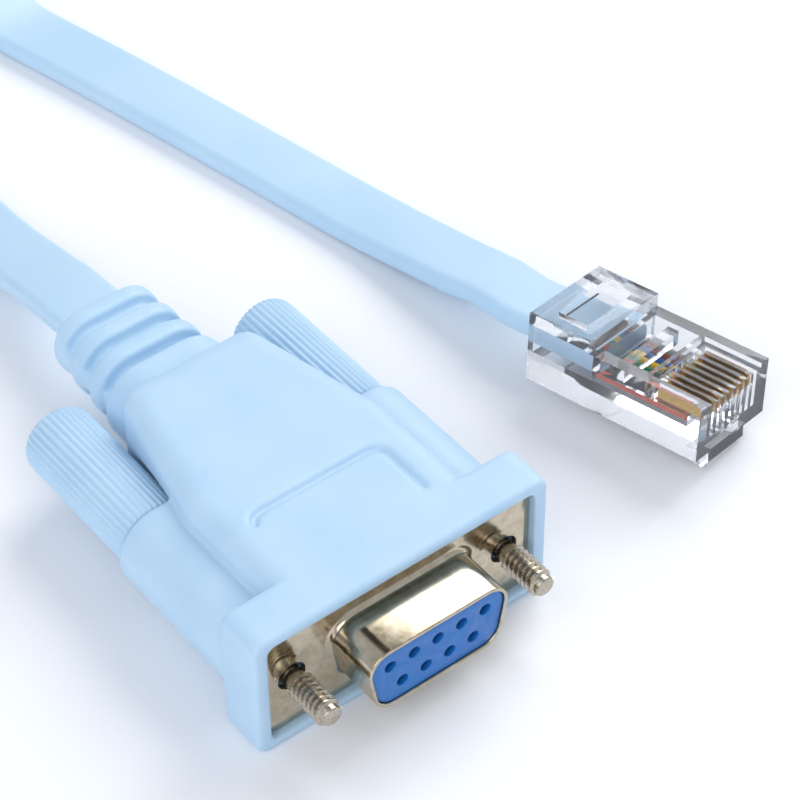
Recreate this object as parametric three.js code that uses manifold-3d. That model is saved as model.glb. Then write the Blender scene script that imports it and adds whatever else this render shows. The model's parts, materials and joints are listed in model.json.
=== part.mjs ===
// Flat console cable: a nine-way D connector with a moulded hood at one end, a clear eight-way
// modular plug at the other, and the spare length wound into a coil that stands on its edge.
// Millimetres, +Z up. +X is to the right seen from the D connector's mating face, and +Y runs
// from that face back towards the cable. The origin is under the middle of the D connector, on
// the surface that it rests on.
import * as THREE from "three";
import { mergeVertices } from "three/addons/utils/BufferGeometryUtils.js";
import Module from "manifold-3d";

const wasm = await Module();
wasm.setup();

// Driving dimensions of the D connector. Y is counted from the front of its flange.
const FIT = 0.3; // clearance round a piece that sits in another
const THIN_FIT = 0.12; // clearance round a pressed or soldered metal piece

const SCREW_SPACING = 24.99;
const FLANGE_END = 2.91; // beyond each screw's axis
const FLANGE_H = 12.5;
const FLANGE_T = 0.8;
const FLANGE_CORNER = 1.0;
const SCREW_HOLE_R = 1.53;

const SHELL_W = 16.33; // over the wide side
const SHELL_H = 7.9;
const SHELL_CORNER = 2.5;
const SHELL_REACH = 5.9; // in front of the flange
const SHELL_WALL = 0.45;
const SIDE_SLOPE = THREE.MathUtils.degToRad(10);

const FACE_SINK = 0.25; // insulator's face behind the shell's rim
const INSULATOR_BACK = 5.0; // behind the flange's front
const CONTACT_PITCH = 2.77;
const ROW_SPACING = 2.84;
const WIDE_ROW = 5;
const NARROW_ROW = 4;
const ENTRY_R = 0.62;
const ENTRY_DEPTH = 0.9;
const CONTACT_R = 0.85;
const CONTACT_BORE_R = 0.5;
const CONTACT_BORE_DEPTH = 6.0;
const CONTACT_BACK = 6.2;

// Driving dimensions of the moulded hood
const COLLAR_END = 1.745; // beyond the flange on each side
const COLLAR_H = 15.2;
const COLLAR_CORNER = 1.3;
const COLLAR_LIP = 0.8; // in front of the flange
const COLLAR_BACK = 4.6;

const BODY_HALF_W = 11.5;
const BODY_SHOULDER_Y = 17.5;
const BODY_BACK_HALF_W = 7.8;
const BODY_BACK_Y = 34.4;
const BODY_CORNER = 1.4;
const EDGE_ROUND_SIDE = 1.7; // rounding of the top and bottom edges, seen from above
const EDGE_ROUND_HEIGHT = 2.4;

const EAR_R = 4.6;
const EAR_BACK_Y = 21.5;
const EAR_ROOT_X = 9.0;
const SCREW_BORE_R = 1.75;

const RELIEF_FRONT_HALF_W = 7.0;
const RELIEF_FRONT_HALF_H = 4.6;
const RELIEF_BACK_HALF_W = 6.0;
const RELIEF_BACK_HALF_H = 3.8;
const RELIEF_BACK_Y = 49.5;
const RELIEF_RIBS = 3;
const RELIEF_PITCH = 3.6;
const GROOVE_W = 1.5;
const GROOVE_DEPTH = 1.3;
const SIDE_WEB_HALF_H = 1.1;

const LABEL_LEFT = -8.3;
const LABEL_RIGHT = 7.7;
const LABEL_BACK_Y = 13.0;
const LABEL_LEFT_END_Y = 11.4;
const LABEL_RIGHT_END_Y = 5.2;
const LABEL_CORNER = 1.8;
const LABEL_LINE = 0.5;
const LABEL_DEPTH = 0.35;

// Driving dimensions of a thumbscrew
const KNOB_R = 3.85;
const KNOB_L = 17.6;
const KNOB_GAP = 0.5; // from the ear
const KNOB_CLEARANCE = 0.35; // from the hood's side, which is hollowed for it
const KNOB_RIBS = 26;
const RIB_DEPTH = 0.22;
const KNOB_END_ROUND = 1.5;
const THREAD_R = 1.42;
const THREAD_ROOT_R = 1.1;
const THREAD_PITCH = 0.635;
const THREAD_TURNS = 7;
const THREAD_TIP = 0.35; // chamfered end in front of the thread
const SCREW_REACH = 6.15; // in front of the flange
const SHANK_R = 1.08;
const SCREW_IN_KNOB = 11.0;

// Driving dimensions of the modular plug, in its own frame: x to the right, y from its rear
// face, negative towards the nose, and z from the underside of its body
const PLUG_W = 11.68;
const PLUG_L = 21.46;
const PLUG_NOSE_H = 6.6;
const PLUG_BLOCK_H = 8.1;
const PLUG_BLOCK_L = 7.6;
const PLUG_EDGE = 0.3; // small chamfer along its outer edges
const PLUG_RAIL_W = 1.25;
const COMB_H = 6.05;
const COMB_BACK_Y = -14.5;
const TROUGH_FRONT_Y = -14.0;
const TROUGH_BACK_Y = -8.5;
const TROUGH_HALF_W = 4.3;
const BAR_BACK_Y = -10.2;
const BAR_L = 1.3;
const BAR_BOTTOM = 4.4;
const BAR_TOP = 6.0;
const CHANNEL_BOTTOM = 2.9;
const CHANNEL_FRONT_Y = -19.4;
const CLAMP_WINDOW_HALF_W = 3.7;
const CLAMP_WINDOW_BACK_Y = -2.1;
const CLAMP_WINDOW_FRONT_Y = -5.7;
const CLAMP_WINDOW_DEPTH = 1.3;
const POLES = 8;
const POLE_PITCH = 1.02;
const SLOT_W = 0.56;
const BLADE_T = 0.32;
const BLADE_SINK = 0.3;
const BLADE_BOTTOM = 4.3;
const BLADE_NOSE_GAP = 0.5;
const BLADE_BACK_Y = -15.4;
const NOSE_GROOVE_BOTTOM = 1.9;
const NOSE_GROOVE_DEPTH = 0.8;
const WIRE_R = 0.44;
const WIRE_Z = 3.5;
const WIRE_BACK_Y = -7.9;
const WIRE_FRONT_Y = -18.9;
const LATCH_HALF_W = 3.05;
const LATCH_T = 0.95;
const LATCH_ROOT_DROP = 2.63;
const LATCH_TIP_DROP = 1.24;
const LATCH_TIP_Y = -2.5;
const PLUG_YAW = 11.88; // degrees
const PLUG_PITCH = -4.28;
const PLUG_ROLL = 7.95;
const PLUG_PLACE = [38.2, 0.05, 1.52]; // its rear face's lower middle

// Driving dimensions of the flat cable and of its coil
const CABLE_W = 8.0;
const CABLE_T = 2.6;
const CABLE_EDGE = 0.9; // chamfer of the section's corners
const CABLE_IN_PLUG = 7.3;
const JACKET_Z = 4.4; // centre of the cable's end above the plug's underside
const COIL_CENTRE = new THREE.Vector2(-3.0, 148.0);
const COIL_INNER_R = 33.6; // centre of the innermost turn
const COIL_TURNS = 5.45;
const TURN_PITCH = 3.0;
const COIL_SIDES = 56;
const TIE_T = 0.5;
const TIE_W = 6.0;
const TIE_FIT = 0.1;
const TIE_ANGLE = THREE.MathUtils.degToRad(140);
const COIL_LIFT = TIE_T + TIE_FIT; // the tie passes under the coil

// Chosen routes of the cable's middle line: x, y, z and the tilt of its width in degrees. The
// first runs from the hood to the coil's outside, the second from the plug onto the coil's top.
// The points next to the hood and the plug are worked out below.
const HOOD_ROUTE = [
  [0.1, 35, 6.9, 0], [0.3, 39, 5.8, 0], [0.6, 43, 4.5, 0], [0.9, 47.5, 3.1, 0],
  [1.2, 52, 2.0, 0], [1.3, 57, 1.45, 0], [0.9, 63, 1.35, 0], [-0.7, 68.5, 1.4, 0],
  [-3.8, 74.5, 2.45, 12], [-9.0, 82, 3.6, 35], [-15.8, 89.8, 4.4, 60], [-22.3, 96, 4.6, 80],
  [-29.4, 102.2, 4.65, 90], [-37.0, 107.5, 4.65, 90],
];
const PLUG_ROUTE = [
  [37.7, 9.5, 4.9, 7], [37.1, 14, 4.0, 5], [36.5, 20, 2.9, 3], [35.8, 26, 1.95, 1],
  [34.8, 32, 1.5, 0], [33.5, 39, 1.35, 0], [32.0, 46.4, 1.35, 0], [29.6, 58, 1.35, 0],
  [27.1, 69.4, 1.35, 0], [25.1, 78, 1.35, 0], [24.1, 82, 1.5, 0], [23.3, 85.7, 2.7, 0],
  [22.4, 89.5, 5.0, 0], [21.3, 94, 8.0, 0], [20.0, 99.5, 10.15, 0], [18.9, 105.5, 10.25, 0],
  [17.9, 113.5, 10.2, 0], [17.4, 122, 10.2, 0],
];
const STRAIGHT_EXIT = 5.0; // straight cable behind the hood and behind the plug
const HOOD_ROUTE_STEPS = 30;
const PLUG_ROUTE_STEPS = 46;

// Sizes that follow from the driving ones
const SCREW_X = SCREW_SPACING / 2;
const FLANGE_W = SCREW_SPACING + 2 * FLANGE_END;
const COLLAR_W = FLANGE_W + 2 * COLLAR_END;
const KNOB_FRONT_Y = EAR_BACK_Y + KNOB_GAP;
const KNOB_BACK_Y = KNOB_FRONT_Y + KNOB_L;
const SCREW_BACK_Y = KNOB_FRONT_Y + SCREW_IN_KNOB;
const MIDDLE_Y = (RELIEF_BACK_Y - SCREW_REACH) / 2;
const AXIS_Z = COLLAR_H / 2;
const CORE_CUT = GROOVE_DEPTH;

// Materials
const finish = (color, roughness, metalness = 0) =>
  new THREE.MeshStandardMaterial({ color, roughness, metalness });
const PALE_BLUE_PVC = finish(0xb2dcf5, 0.55);
const NICKEL = finish(0xb0a8a0, 0.3, 1);
const BLUE_NYLON = finish(0x2f6fb5, 0.45);
const GOLD = finish(0xc79a4b, 0.3, 1);
const STEEL = finish(0x9a958d, 0.35, 1);
const CLEAR = new THREE.MeshStandardMaterial({
  color: 0xe6ebf0, roughness: 0.08, transparent: true, opacity: 0.35,
});
const TIE_WHITE = finish(0xe9ecee, 0.6);
const WIRE_COLOURS = [
  0xe2571f, 0x2a2326, 0xc7282c, 0x1f7a4f, 0xd9b32c, 0x2b5fb0, 0x8c4436, 0x9aa0a6,
];

// A closed geometry as a solid, and a solid as a geometry
function solid(geometry) {
  const bare = geometry.clone();
  bare.deleteAttribute("normal");
  bare.deleteAttribute("uv");
  const merged = mergeVertices(bare, 1e-4);
  return new wasm.Manifold(new wasm.Mesh({
    numProp: 3,
    vertProperties: merged.attributes.position.array,
    triVerts: new Uint32Array(merged.index.array),
  }));
}

function geometryOf(made) {
  const mesh = made.getMesh();
  const corners = new Float32Array(mesh.numVert * 3);
  for (let i = 0; i < mesh.numVert; i++)
    corners.set(mesh.vertProperties.subarray(i * mesh.numProp, i * mesh.numProp + 3), i * 3);
  const geometry = new THREE.BufferGeometry();
  geometry.setAttribute("position", new THREE.BufferAttribute(corners, 3));
  geometry.setIndex(new THREE.BufferAttribute(mesh.triVerts, 1));
  geometry.computeVertexNormals();
  return geometry;
}

const join = (parts) => parts.map(solid).reduce((a, b) => a.add(b));
const cut = (body, tools) => tools.map(solid).reduce((a, b) => a.subtract(b), body);

function piece(name, made, material) {
  const geometry = made instanceof THREE.BufferGeometry ? made : geometryOf(made);
  const mesh = new THREE.Mesh(geometry, material);
  mesh.name = name;
  return mesh;
}

// Extrusions: a shape in X and Z swept from y0 to y1, and a shape in Y and Z swept along X
function alongY(shape, y0, y1, curveSegments = 5) {
  const geometry = new THREE.ExtrudeGeometry(shape, {
    depth: y1 - y0, bevelEnabled: false, curveSegments,
  });
  return geometry.rotateX(Math.PI / 2).translate(0, y1, 0);
}

function alongX(shape, x0, x1) {
  const geometry = new THREE.ExtrudeGeometry(shape, { depth: x1 - x0, bevelEnabled: false });
  const turn = new THREE.Matrix4().makeBasis(
    new THREE.Vector3(0, 1, 0), new THREE.Vector3(0, 0, 1), new THREE.Vector3(1, 0, 0),
  );
  return geometry.applyMatrix4(turn).translate(x0, 0, 0);
}

function box(x0, x1, y0, y1, z0, z1) {
  const geometry = new THREE.BoxGeometry(x1 - x0, y1 - y0, z1 - z0);
  return geometry.translate((x0 + x1) / 2, (y0 + y1) / 2, (z0 + z1) / 2);
}

// A cylinder along Y
function rod(radius, y0, y1, x = 0, z = 0, sides = 14) {
  const geometry = new THREE.CylinderGeometry(radius, radius, y1 - y0, sides);
  return geometry.translate(x, (y0 + y1) / 2, z);
}

// Outlines
function roundedRectangle(halfW, halfH, corner) {
  const r = Math.min(corner, halfW * 0.99, halfH * 0.99);
  const shape = new THREE.Shape();
  shape.absarc(halfW - r, halfH - r, r, 0, Math.PI / 2);
  shape.absarc(-halfW + r, halfH - r, r, Math.PI / 2, Math.PI);
  shape.absarc(-halfW + r, -halfH + r, r, Math.PI, Math.PI * 1.5);
  shape.absarc(halfW - r, -halfH + r, r, Math.PI * 1.5, Math.PI * 2);
  return shape;
}

// The D outline, wide side up, drawn in from the shell's outside by inset
function dOutline(inset) {
  const r = SHELL_CORNER - inset;
  const top = SHELL_H / 2 - SHELL_CORNER;
  const wide = SHELL_W / 2 - SHELL_CORNER;
  const narrow = wide - (SHELL_H - 2 * SHELL_CORNER) * Math.tan(SIDE_SLOPE);
  const shape = new THREE.Shape();
  shape.absarc(wide, top, r, -SIDE_SLOPE, Math.PI / 2);
  shape.absarc(-wide, top, r, Math.PI / 2, Math.PI + SIDE_SLOPE);
  shape.absarc(-narrow, -top, r, Math.PI + SIDE_SLOPE, Math.PI * 1.5);
  shape.absarc(narrow, -top, r, Math.PI * 1.5, Math.PI * 2 - SIDE_SLOPE);
  return shape;
}

function contactPlaces() {
  const places = [];
  for (const [count, z] of [[WIDE_ROW, ROW_SPACING / 2], [NARROW_ROW, -ROW_SPACING / 2]])
    for (let i = 0; i < count; i++)
      places.push([(i - (count - 1) / 2) * CONTACT_PITCH, z]);
  return places;
}

// Moulded hood with its collar, ears and strain relief
function bodyOutline() {
  const shape = new THREE.Shape();
  const front = COLLAR_BACK - EDGE_ROUND_SIDE - BODY_CORNER;
  shape.moveTo(BODY_HALF_W, front);
  shape.lineTo(BODY_HALF_W, BODY_SHOULDER_Y - BODY_CORNER);
  shape.quadraticCurveTo(
    BODY_HALF_W, BODY_SHOULDER_Y, BODY_HALF_W - BODY_CORNER * 0.3, BODY_SHOULDER_Y + BODY_CORNER,
  );
  shape.lineTo(BODY_BACK_HALF_W + BODY_CORNER * 0.3, BODY_BACK_Y - BODY_CORNER * 1.3);
  shape.quadraticCurveTo(
    BODY_BACK_HALF_W, BODY_BACK_Y, BODY_BACK_HALF_W - BODY_CORNER, BODY_BACK_Y,
  );
  shape.lineTo(-BODY_BACK_HALF_W + BODY_CORNER, BODY_BACK_Y);
  shape.quadraticCurveTo(
    -BODY_BACK_HALF_W, BODY_BACK_Y,
    -BODY_BACK_HALF_W - BODY_CORNER * 0.3, BODY_BACK_Y - BODY_CORNER * 1.3,
  );
  shape.lineTo(-BODY_HALF_W + BODY_CORNER * 0.3, BODY_SHOULDER_Y + BODY_CORNER);
  shape.quadraticCurveTo(
    -BODY_HALF_W, BODY_SHOULDER_Y, -BODY_HALF_W, BODY_SHOULDER_Y - BODY_CORNER,
  );
  shape.lineTo(-BODY_HALF_W, front);
  return shape;
}

function bodyGeometry() {
  const depth = COLLAR_H - 2 * EDGE_ROUND_HEIGHT;
  const geometry = new THREE.ExtrudeGeometry(bodyOutline(), {
    depth, curveSegments: 3, bevelEnabled: true, bevelThickness: EDGE_ROUND_HEIGHT,
    bevelSize: EDGE_ROUND_SIDE, bevelOffset: -EDGE_ROUND_SIDE, bevelSegments: 4,
  });
  return geometry.translate(0, 0, -depth / 2);
}

function earGeometry(side) {
  const shape = new THREE.Shape();
  shape.moveTo(side * EAR_ROOT_X, -EAR_R);
  shape.lineTo(side * SCREW_X, -EAR_R);
  if (side > 0) shape.absarc(SCREW_X, 0, EAR_R, -Math.PI / 2, Math.PI / 2);
  else shape.absarc(-SCREW_X, 0, EAR_R, -Math.PI / 2, Math.PI / 2, true);
  shape.lineTo(side * EAR_ROOT_X, EAR_R);
  return alongY(shape, COLLAR_BACK - EAR_ROOT_X / 4, EAR_BACK_Y, 10);
}

// Half-width and half-height of the strain relief's ribs, which shrink towards the cable
function reliefSize(y) {
  const t = (y - BODY_BACK_Y) / (RELIEF_BACK_Y - BODY_BACK_Y);
  return [
    THREE.MathUtils.lerp(RELIEF_FRONT_HALF_W, RELIEF_BACK_HALF_W, t),
    THREE.MathUtils.lerp(RELIEF_FRONT_HALF_H, RELIEF_BACK_HALF_H, t),
  ];
}

function reliefRib(y0, y1, inset = 0) {
  const [halfW, halfH] = reliefSize((y0 + y1) / 2);
  const shape = roundedRectangle(halfW - inset, halfH - inset, halfH * 0.95 - inset);
  return alongY(shape, y0, y1, 6);
}

function reliefParts() {
  const root = BODY_BACK_Y - EDGE_ROUND_SIDE - BODY_CORNER;
  const lastGrooveEnd = RELIEF_BACK_Y - (RELIEF_PITCH - GROOVE_W / 2);
  const grooveEnd = (i) => lastGrooveEnd - (RELIEF_RIBS - 1 - i) * RELIEF_PITCH;
  const parts = [reliefRib(root, grooveEnd(0) - GROOVE_W)];
  for (let i = 0; i < RELIEF_RIBS; i++) {
    const end = i < RELIEF_RIBS - 1 ? grooveEnd(i + 1) - GROOVE_W : RELIEF_BACK_Y;
    parts.push(reliefRib(grooveEnd(i), end));
  }
  parts.push(reliefRib(root, RELIEF_BACK_Y - GROOVE_W / 2, CORE_CUT));
  parts.push(box(
    -RELIEF_BACK_HALF_W, RELIEF_BACK_HALF_W, root, RELIEF_BACK_Y - GROOVE_W / 2,
    -SIDE_WEB_HALF_H, SIDE_WEB_HALF_H,
  ));
  return parts;
}

// A groove that frames the blank label area on three sides
function labelGroove() {
  const r = LABEL_CORNER;
  const inner = r - LABEL_LINE;
  const shape = new THREE.Shape();
  shape.moveTo(LABEL_RIGHT - LABEL_LINE, LABEL_RIGHT_END_Y);
  shape.lineTo(LABEL_RIGHT, LABEL_RIGHT_END_Y);
  shape.absarc(LABEL_RIGHT - r, LABEL_BACK_Y - r, r, 0, Math.PI / 2);
  shape.absarc(LABEL_LEFT + r, LABEL_BACK_Y - r, r, Math.PI / 2, Math.PI);
  shape.lineTo(LABEL_LEFT, LABEL_LEFT_END_Y - LABEL_LINE);
  shape.lineTo(LABEL_LEFT + LABEL_LINE, LABEL_LEFT_END_Y - LABEL_LINE);
  shape.absarc(LABEL_LEFT + r, LABEL_BACK_Y - r, inner, Math.PI, Math.PI / 2, true);
  shape.absarc(LABEL_RIGHT - r, LABEL_BACK_Y - r, inner, Math.PI / 2, 0, true);
  const geometry = new THREE.ExtrudeGeometry(shape, {
    depth: LABEL_DEPTH + FIT, bevelEnabled: false, curveSegments: 4,
  });
  return geometry.translate(0, 0, COLLAR_H / 2 - LABEL_DEPTH);
}

function hood() {
  const collar = alongY(
    roundedRectangle(COLLAR_W / 2, COLLAR_H / 2, COLLAR_CORNER), -COLLAR_LIP, COLLAR_BACK,
  );
  const flangeSeat = alongY(
    roundedRectangle(FLANGE_W / 2 + FIT / 2, FLANGE_H / 2 + FIT / 2, FLANGE_CORNER),
    -2 * COLLAR_LIP, FLANGE_T,
  );
  const insulatorPocket = alongY(
    dOutline(SHELL_WALL - FIT), 0, CONTACT_BACK + FIT,
  );
  const bores = [-SCREW_X, SCREW_X].flatMap((x) => [
    rod(SCREW_BORE_R, 0, EAR_BACK_Y + 1, x, 0, 18),
    rod(KNOB_R + KNOB_CLEARANCE, EAR_BACK_Y, KNOB_BACK_Y + 1, x, 0, 32),
  ]);
  const moulded = join([
    collar, bodyGeometry(), earGeometry(-1), earGeometry(1), ...reliefParts(),
  ]);
  return cut(moulded, [flangeSeat, insulatorPocket, labelGroove(), ...bores]);
}

// Drawn metal shell with its flange
function shell() {
  const plate = roundedRectangle(FLANGE_W / 2, FLANGE_H / 2, FLANGE_CORNER);
  const outside = alongY(dOutline(0), -SHELL_REACH, FLANGE_T / 2);
  const inside = alongY(dOutline(SHELL_WALL), -SHELL_REACH - 1, FLANGE_T + 1);
  const holes = [-SCREW_X, SCREW_X].map((x) => rod(SCREW_HOLE_R, -1, FLANGE_T + 1, x, 0, 18));
  return cut(join([alongY(plate, 0, FLANGE_T), outside]), [inside, ...holes]);
}

function insulator() {
  const face = -SHELL_REACH + FACE_SINK;
  const block = alongY(dOutline(SHELL_WALL + THIN_FIT), face, INSULATOR_BACK);
  const bores = contactPlaces().flatMap(([x, z]) => [
    rod(ENTRY_R, face - 1, face + ENTRY_DEPTH + 0.1, x, z, 12),
    rod(CONTACT_R + THIN_FIT, face + ENTRY_DEPTH, INSULATOR_BACK + 1, x, z, 12),
  ]);
  return cut(solid(block), bores);
}

// One socket contact: a tube that is closed behind its bore
function contact() {
  const front = -SHELL_REACH + FACE_SINK + ENTRY_DEPTH + THIN_FIT;
  const profile = [
    [0, front + CONTACT_BORE_DEPTH], [CONTACT_BORE_R, front + CONTACT_BORE_DEPTH],
    [CONTACT_BORE_R, front], [CONTACT_R, front], [CONTACT_R, CONTACT_BACK], [0, CONTACT_BACK],
  ];
  return lathe(profile, 12);
}

// Turned piece about Y from points of radius and y, given so that its faces point out
function lathe(points, sides) {
  const profile = points.map(([r, y]) => new THREE.Vector2(r, y));
  const geometry = new THREE.LatheGeometry(profile, sides);
  const made = solid(geometry);
  if (made.volume() > 0) return geometry;
  return new THREE.LatheGeometry(profile.reverse(), sides);
}

// Thumbscrew: a ribbed moulded knob on a jackscrew, about its own axis
function knob() {
  const star = new THREE.Shape();
  const points = KNOB_RIBS * 4;
  for (let i = 0; i < points; i++) {
    const r = i % 4 < 2 ? KNOB_R : KNOB_R - RIB_DEPTH;
    const a = (i / points) * Math.PI * 2;
    if (i === 0) star.moveTo(r * Math.cos(a), r * Math.sin(a));
    else star.lineTo(r * Math.cos(a), r * Math.sin(a));
  }
  const round = KNOB_END_ROUND;
  const envelope = [[0, KNOB_FRONT_Y], [KNOB_R + 1, KNOB_FRONT_Y], [KNOB_R + 1, KNOB_BACK_Y - 2 * round]];
  for (let i = 0; i <= 4; i++) {
    const a = (i / 4) * (Math.PI / 2);
    envelope.push([
      KNOB_R - round + round * Math.cos(a), KNOB_BACK_Y - round + round * Math.sin(a),
    ]);
  }
  envelope.push([0, KNOB_BACK_Y]);
  const ribbed = solid(alongY(star, KNOB_FRONT_Y, KNOB_BACK_Y));
  const rounded = ribbed.intersect(solid(lathe(envelope, 30)));
  return cut(rounded, [rod(SHANK_R + THIN_FIT, KNOB_FRONT_Y - 1, SCREW_BACK_Y + THIN_FIT, 0, 0, 12)]);
}

function jackscrew() {
  const profile = [[0, -SCREW_REACH], [THREAD_ROOT_R, -SCREW_REACH]];
  let y = -SCREW_REACH + THREAD_TIP;
  for (let i = 0; i < THREAD_TURNS; i++) {
    profile.push([THREAD_ROOT_R, y], [THREAD_R, y + THREAD_PITCH * 0.4]);
    profile.push([THREAD_R, y + THREAD_PITCH * 0.55]);
    y += THREAD_PITCH;
  }
  profile.push([THREAD_ROOT_R, y], [SHANK_R, y], [SHANK_R, SCREW_BACK_Y], [0, SCREW_BACK_Y]);
  return lathe(profile, 12);
}

function thumbscrew(side, label) {
  const group = new THREE.Group();
  group.add(piece(label + "_thumbscrew_knob", knob(), PALE_BLUE_PVC));
  group.add(piece(label + "_jackscrew", jackscrew(), STEEL));
  group.position.x = side * SCREW_X;
  return group;
}

// Clear modular plug, in its own frame
function polePlaces() {
  return Array.from({ length: POLES }, (_, i) => (i - (POLES - 1) / 2) * POLE_PITCH);
}

function chamferedBlock(y0, y1, height) {
  const w = PLUG_W / 2;
  const e = PLUG_EDGE;
  const shape = new THREE.Shape();
  shape.moveTo(-w + e, 0);
  shape.lineTo(w - e, 0);
  shape.lineTo(w, e);
  shape.lineTo(w, height - e);
  shape.lineTo(w - e, height);
  shape.lineTo(-w + e, height);
  shape.lineTo(-w, height - e);
  shape.lineTo(-w, e);
  return alongY(shape, y0, y1);
}

function latchGeometry() {
  const nose = -PLUG_L + 0.3;
  const shape = new THREE.Shape();
  shape.moveTo(nose + 2.2, 0.4);
  shape.lineTo(nose + 0.1, 0.4);
  shape.lineTo(nose, -LATCH_ROOT_DROP + 0.9);
  shape.lineTo(nose + 0.7, -LATCH_ROOT_DROP);
  shape.lineTo(LATCH_TIP_Y, -LATCH_TIP_DROP);
  shape.lineTo(LATCH_TIP_Y, -LATCH_TIP_DROP + LATCH_T);
  shape.lineTo(nose + 2.4, -LATCH_ROOT_DROP + LATCH_T + 0.2);
  shape.lineTo(nose + 1.7, -LATCH_ROOT_DROP + LATCH_T + 0.8);
  return alongX(shape, -LATCH_HALF_W, LATCH_HALF_W);
}

function plugBody() {
  const railIn = PLUG_W / 2 - PLUG_RAIL_W;
  const jacketRoom = CABLE_T / 2 + FIT;
  const block = join([
    chamferedBlock(-PLUG_L, -PLUG_BLOCK_L + 0.5, PLUG_NOSE_H),
    chamferedBlock(-PLUG_BLOCK_L, 0, PLUG_BLOCK_H),
    latchGeometry(),
  ]);
  const slots = polePlaces().flatMap((x) => [
    box(x - SLOT_W / 2, x + SLOT_W / 2, -PLUG_L - 1, BLADE_BACK_Y + FIT, BLADE_BOTTOM - FIT, COMB_H + 1),
    box(x - SLOT_W / 2, x + SLOT_W / 2, -PLUG_L - 1, -PLUG_L + NOSE_GROOVE_DEPTH,
      NOSE_GROOVE_BOTTOM, COMB_H + 1),
  ]);
  const hollowed = cut(block, [
    box(-railIn, railIn, -PLUG_L - 1, COMB_BACK_Y, COMB_H, PLUG_BLOCK_H),
    box(-TROUGH_HALF_W, TROUGH_HALF_W, TROUGH_FRONT_Y, TROUGH_BACK_Y, CHANNEL_BOTTOM, PLUG_BLOCK_H),
    box(-TROUGH_HALF_W, TROUGH_HALF_W, CHANNEL_FRONT_Y, -CABLE_IN_PLUG,
      CHANNEL_BOTTOM, WIRE_Z + WIRE_R + FIT / 2),
    box(-CABLE_W / 2 - FIT, CABLE_W / 2 + FIT, -CABLE_IN_PLUG - FIT, 1,
      JACKET_Z - jacketRoom, JACKET_Z + jacketRoom),
    box(-CLAMP_WINDOW_HALF_W, CLAMP_WINDOW_HALF_W, CLAMP_WINDOW_FRONT_Y, CLAMP_WINDOW_BACK_Y,
      PLUG_BLOCK_H - CLAMP_WINDOW_DEPTH, PLUG_BLOCK_H + 1),
    ...slots,
  ]);
  const bar = box(-railIn, railIn, BAR_BACK_Y - BAR_L, BAR_BACK_Y, BAR_BOTTOM, BAR_TOP);
  return hollowed.add(solid(bar));
}

function bladeGeometry() {
  const front = -PLUG_L + BLADE_NOSE_GAP;
  const top = COMB_H - BLADE_SINK;
  const shape = new THREE.Shape();
  shape.moveTo(front, BLADE_BOTTOM);
  shape.lineTo(BLADE_BACK_Y, BLADE_BOTTOM);
  shape.lineTo(BLADE_BACK_Y, top);
  shape.lineTo(front + 0.9, top);
  shape.quadraticCurveTo(front, top, front, top - 0.9);
  return alongX(shape, -BLADE_T / 2, BLADE_T / 2);
}

// Section of the flat cable, its width along X
function flatSection() {
  const w = CABLE_W / 2;
  const t = CABLE_T / 2;
  const e = CABLE_EDGE;
  const shape = new THREE.Shape();
  shape.moveTo(w, -t + e);
  shape.lineTo(w, t - e);
  shape.lineTo(w - e, t);
  shape.lineTo(-w + e, t);
  shape.lineTo(-w, t - e);
  shape.lineTo(-w, -t + e);
  shape.lineTo(-w + e, -t);
  shape.lineTo(w - e, -t);
  return shape;
}

function plug() {
  const group = new THREE.Group();
  group.add(piece("plug_body", plugBody(), CLEAR));
  polePlaces().forEach((x, i) => {
    const blade = piece("contact_blade_" + (i + 1), bladeGeometry(), GOLD);
    const wire = piece(
      "conductor_" + (i + 1), rod(WIRE_R, WIRE_FRONT_Y, WIRE_BACK_Y, 0, WIRE_Z, 10),
      finish(WIRE_COLOURS[i], 0.4),
    );
    blade.position.x = x;
    wire.position.x = x;
    group.add(blade, wire);
  });
  const end = alongY(flatSection(), -CABLE_IN_PLUG, 0).translate(0, 0, JACKET_Z);
  group.add(piece("cable_end_in_plug", end, PALE_BLUE_PVC));
  group.rotation.set(...[PLUG_PITCH, PLUG_ROLL, PLUG_YAW].map(THREE.MathUtils.degToRad), "ZXY");
  group.position.set(...PLUG_PLACE);
  group.updateMatrix();
  return group;
}

// Flat cable that lies free, and its coil. The path keeps the cable's width level, or tilted by
// the route's own angle, instead of letting it turn with the curve's bends.
class FlatPath extends THREE.CatmullRomCurve3 {
  constructor(route) {
    super(route.map(([x, y, z]) => new THREE.Vector3(x, y, z)));
    this.tilts = new THREE.CatmullRomCurve3(route.map(([, , , tilt], i) => new THREE.Vector3(i, tilt, 0)));
  }

  computeFrenetFrames(segments) {
    const frames = { tangents: [], normals: [], binormals: [] };
    for (let i = 0; i <= segments; i++) {
      const u = i / segments;
      const ahead = this.getTangentAt(u);
      const across = new THREE.Vector3(0, 0, 1).cross(ahead).normalize();
      const tilt = THREE.MathUtils.degToRad(this.tilts.getPoint(this.getUtoTmapping(u)).y);
      across.applyAxisAngle(ahead, tilt);
      frames.tangents.push(ahead);
      frames.normals.push(across);
      frames.binormals.push(new THREE.Vector3().crossVectors(ahead, across));
    }
    return frames;
  }
}

function flatCable(name, route, steps) {
  const geometry = new THREE.ExtrudeGeometry(flatSection(), {
    steps, extrudePath: new FlatPath(route), bevelEnabled: false,
  });
  return piece(name, geometry, PALE_BLUE_PVC);
}

// The two points of straight cable behind the hood, and behind the plug
function hoodExit() {
  const y = RELIEF_BACK_Y - MIDDLE_Y + FIT;
  return [[0, y, AXIS_Z, 0], [0, y + STRAIGHT_EXIT / 2, AXIS_Z - FIT / 2, 0]];
}

function plugExit(place) {
  return [FIT, FIT + STRAIGHT_EXIT].map((y) => {
    const p = new THREE.Vector3(0, y, JACKET_Z).applyMatrix4(place);
    return [p.x, p.y, p.z, PLUG_ROLL];
  });
}

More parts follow.
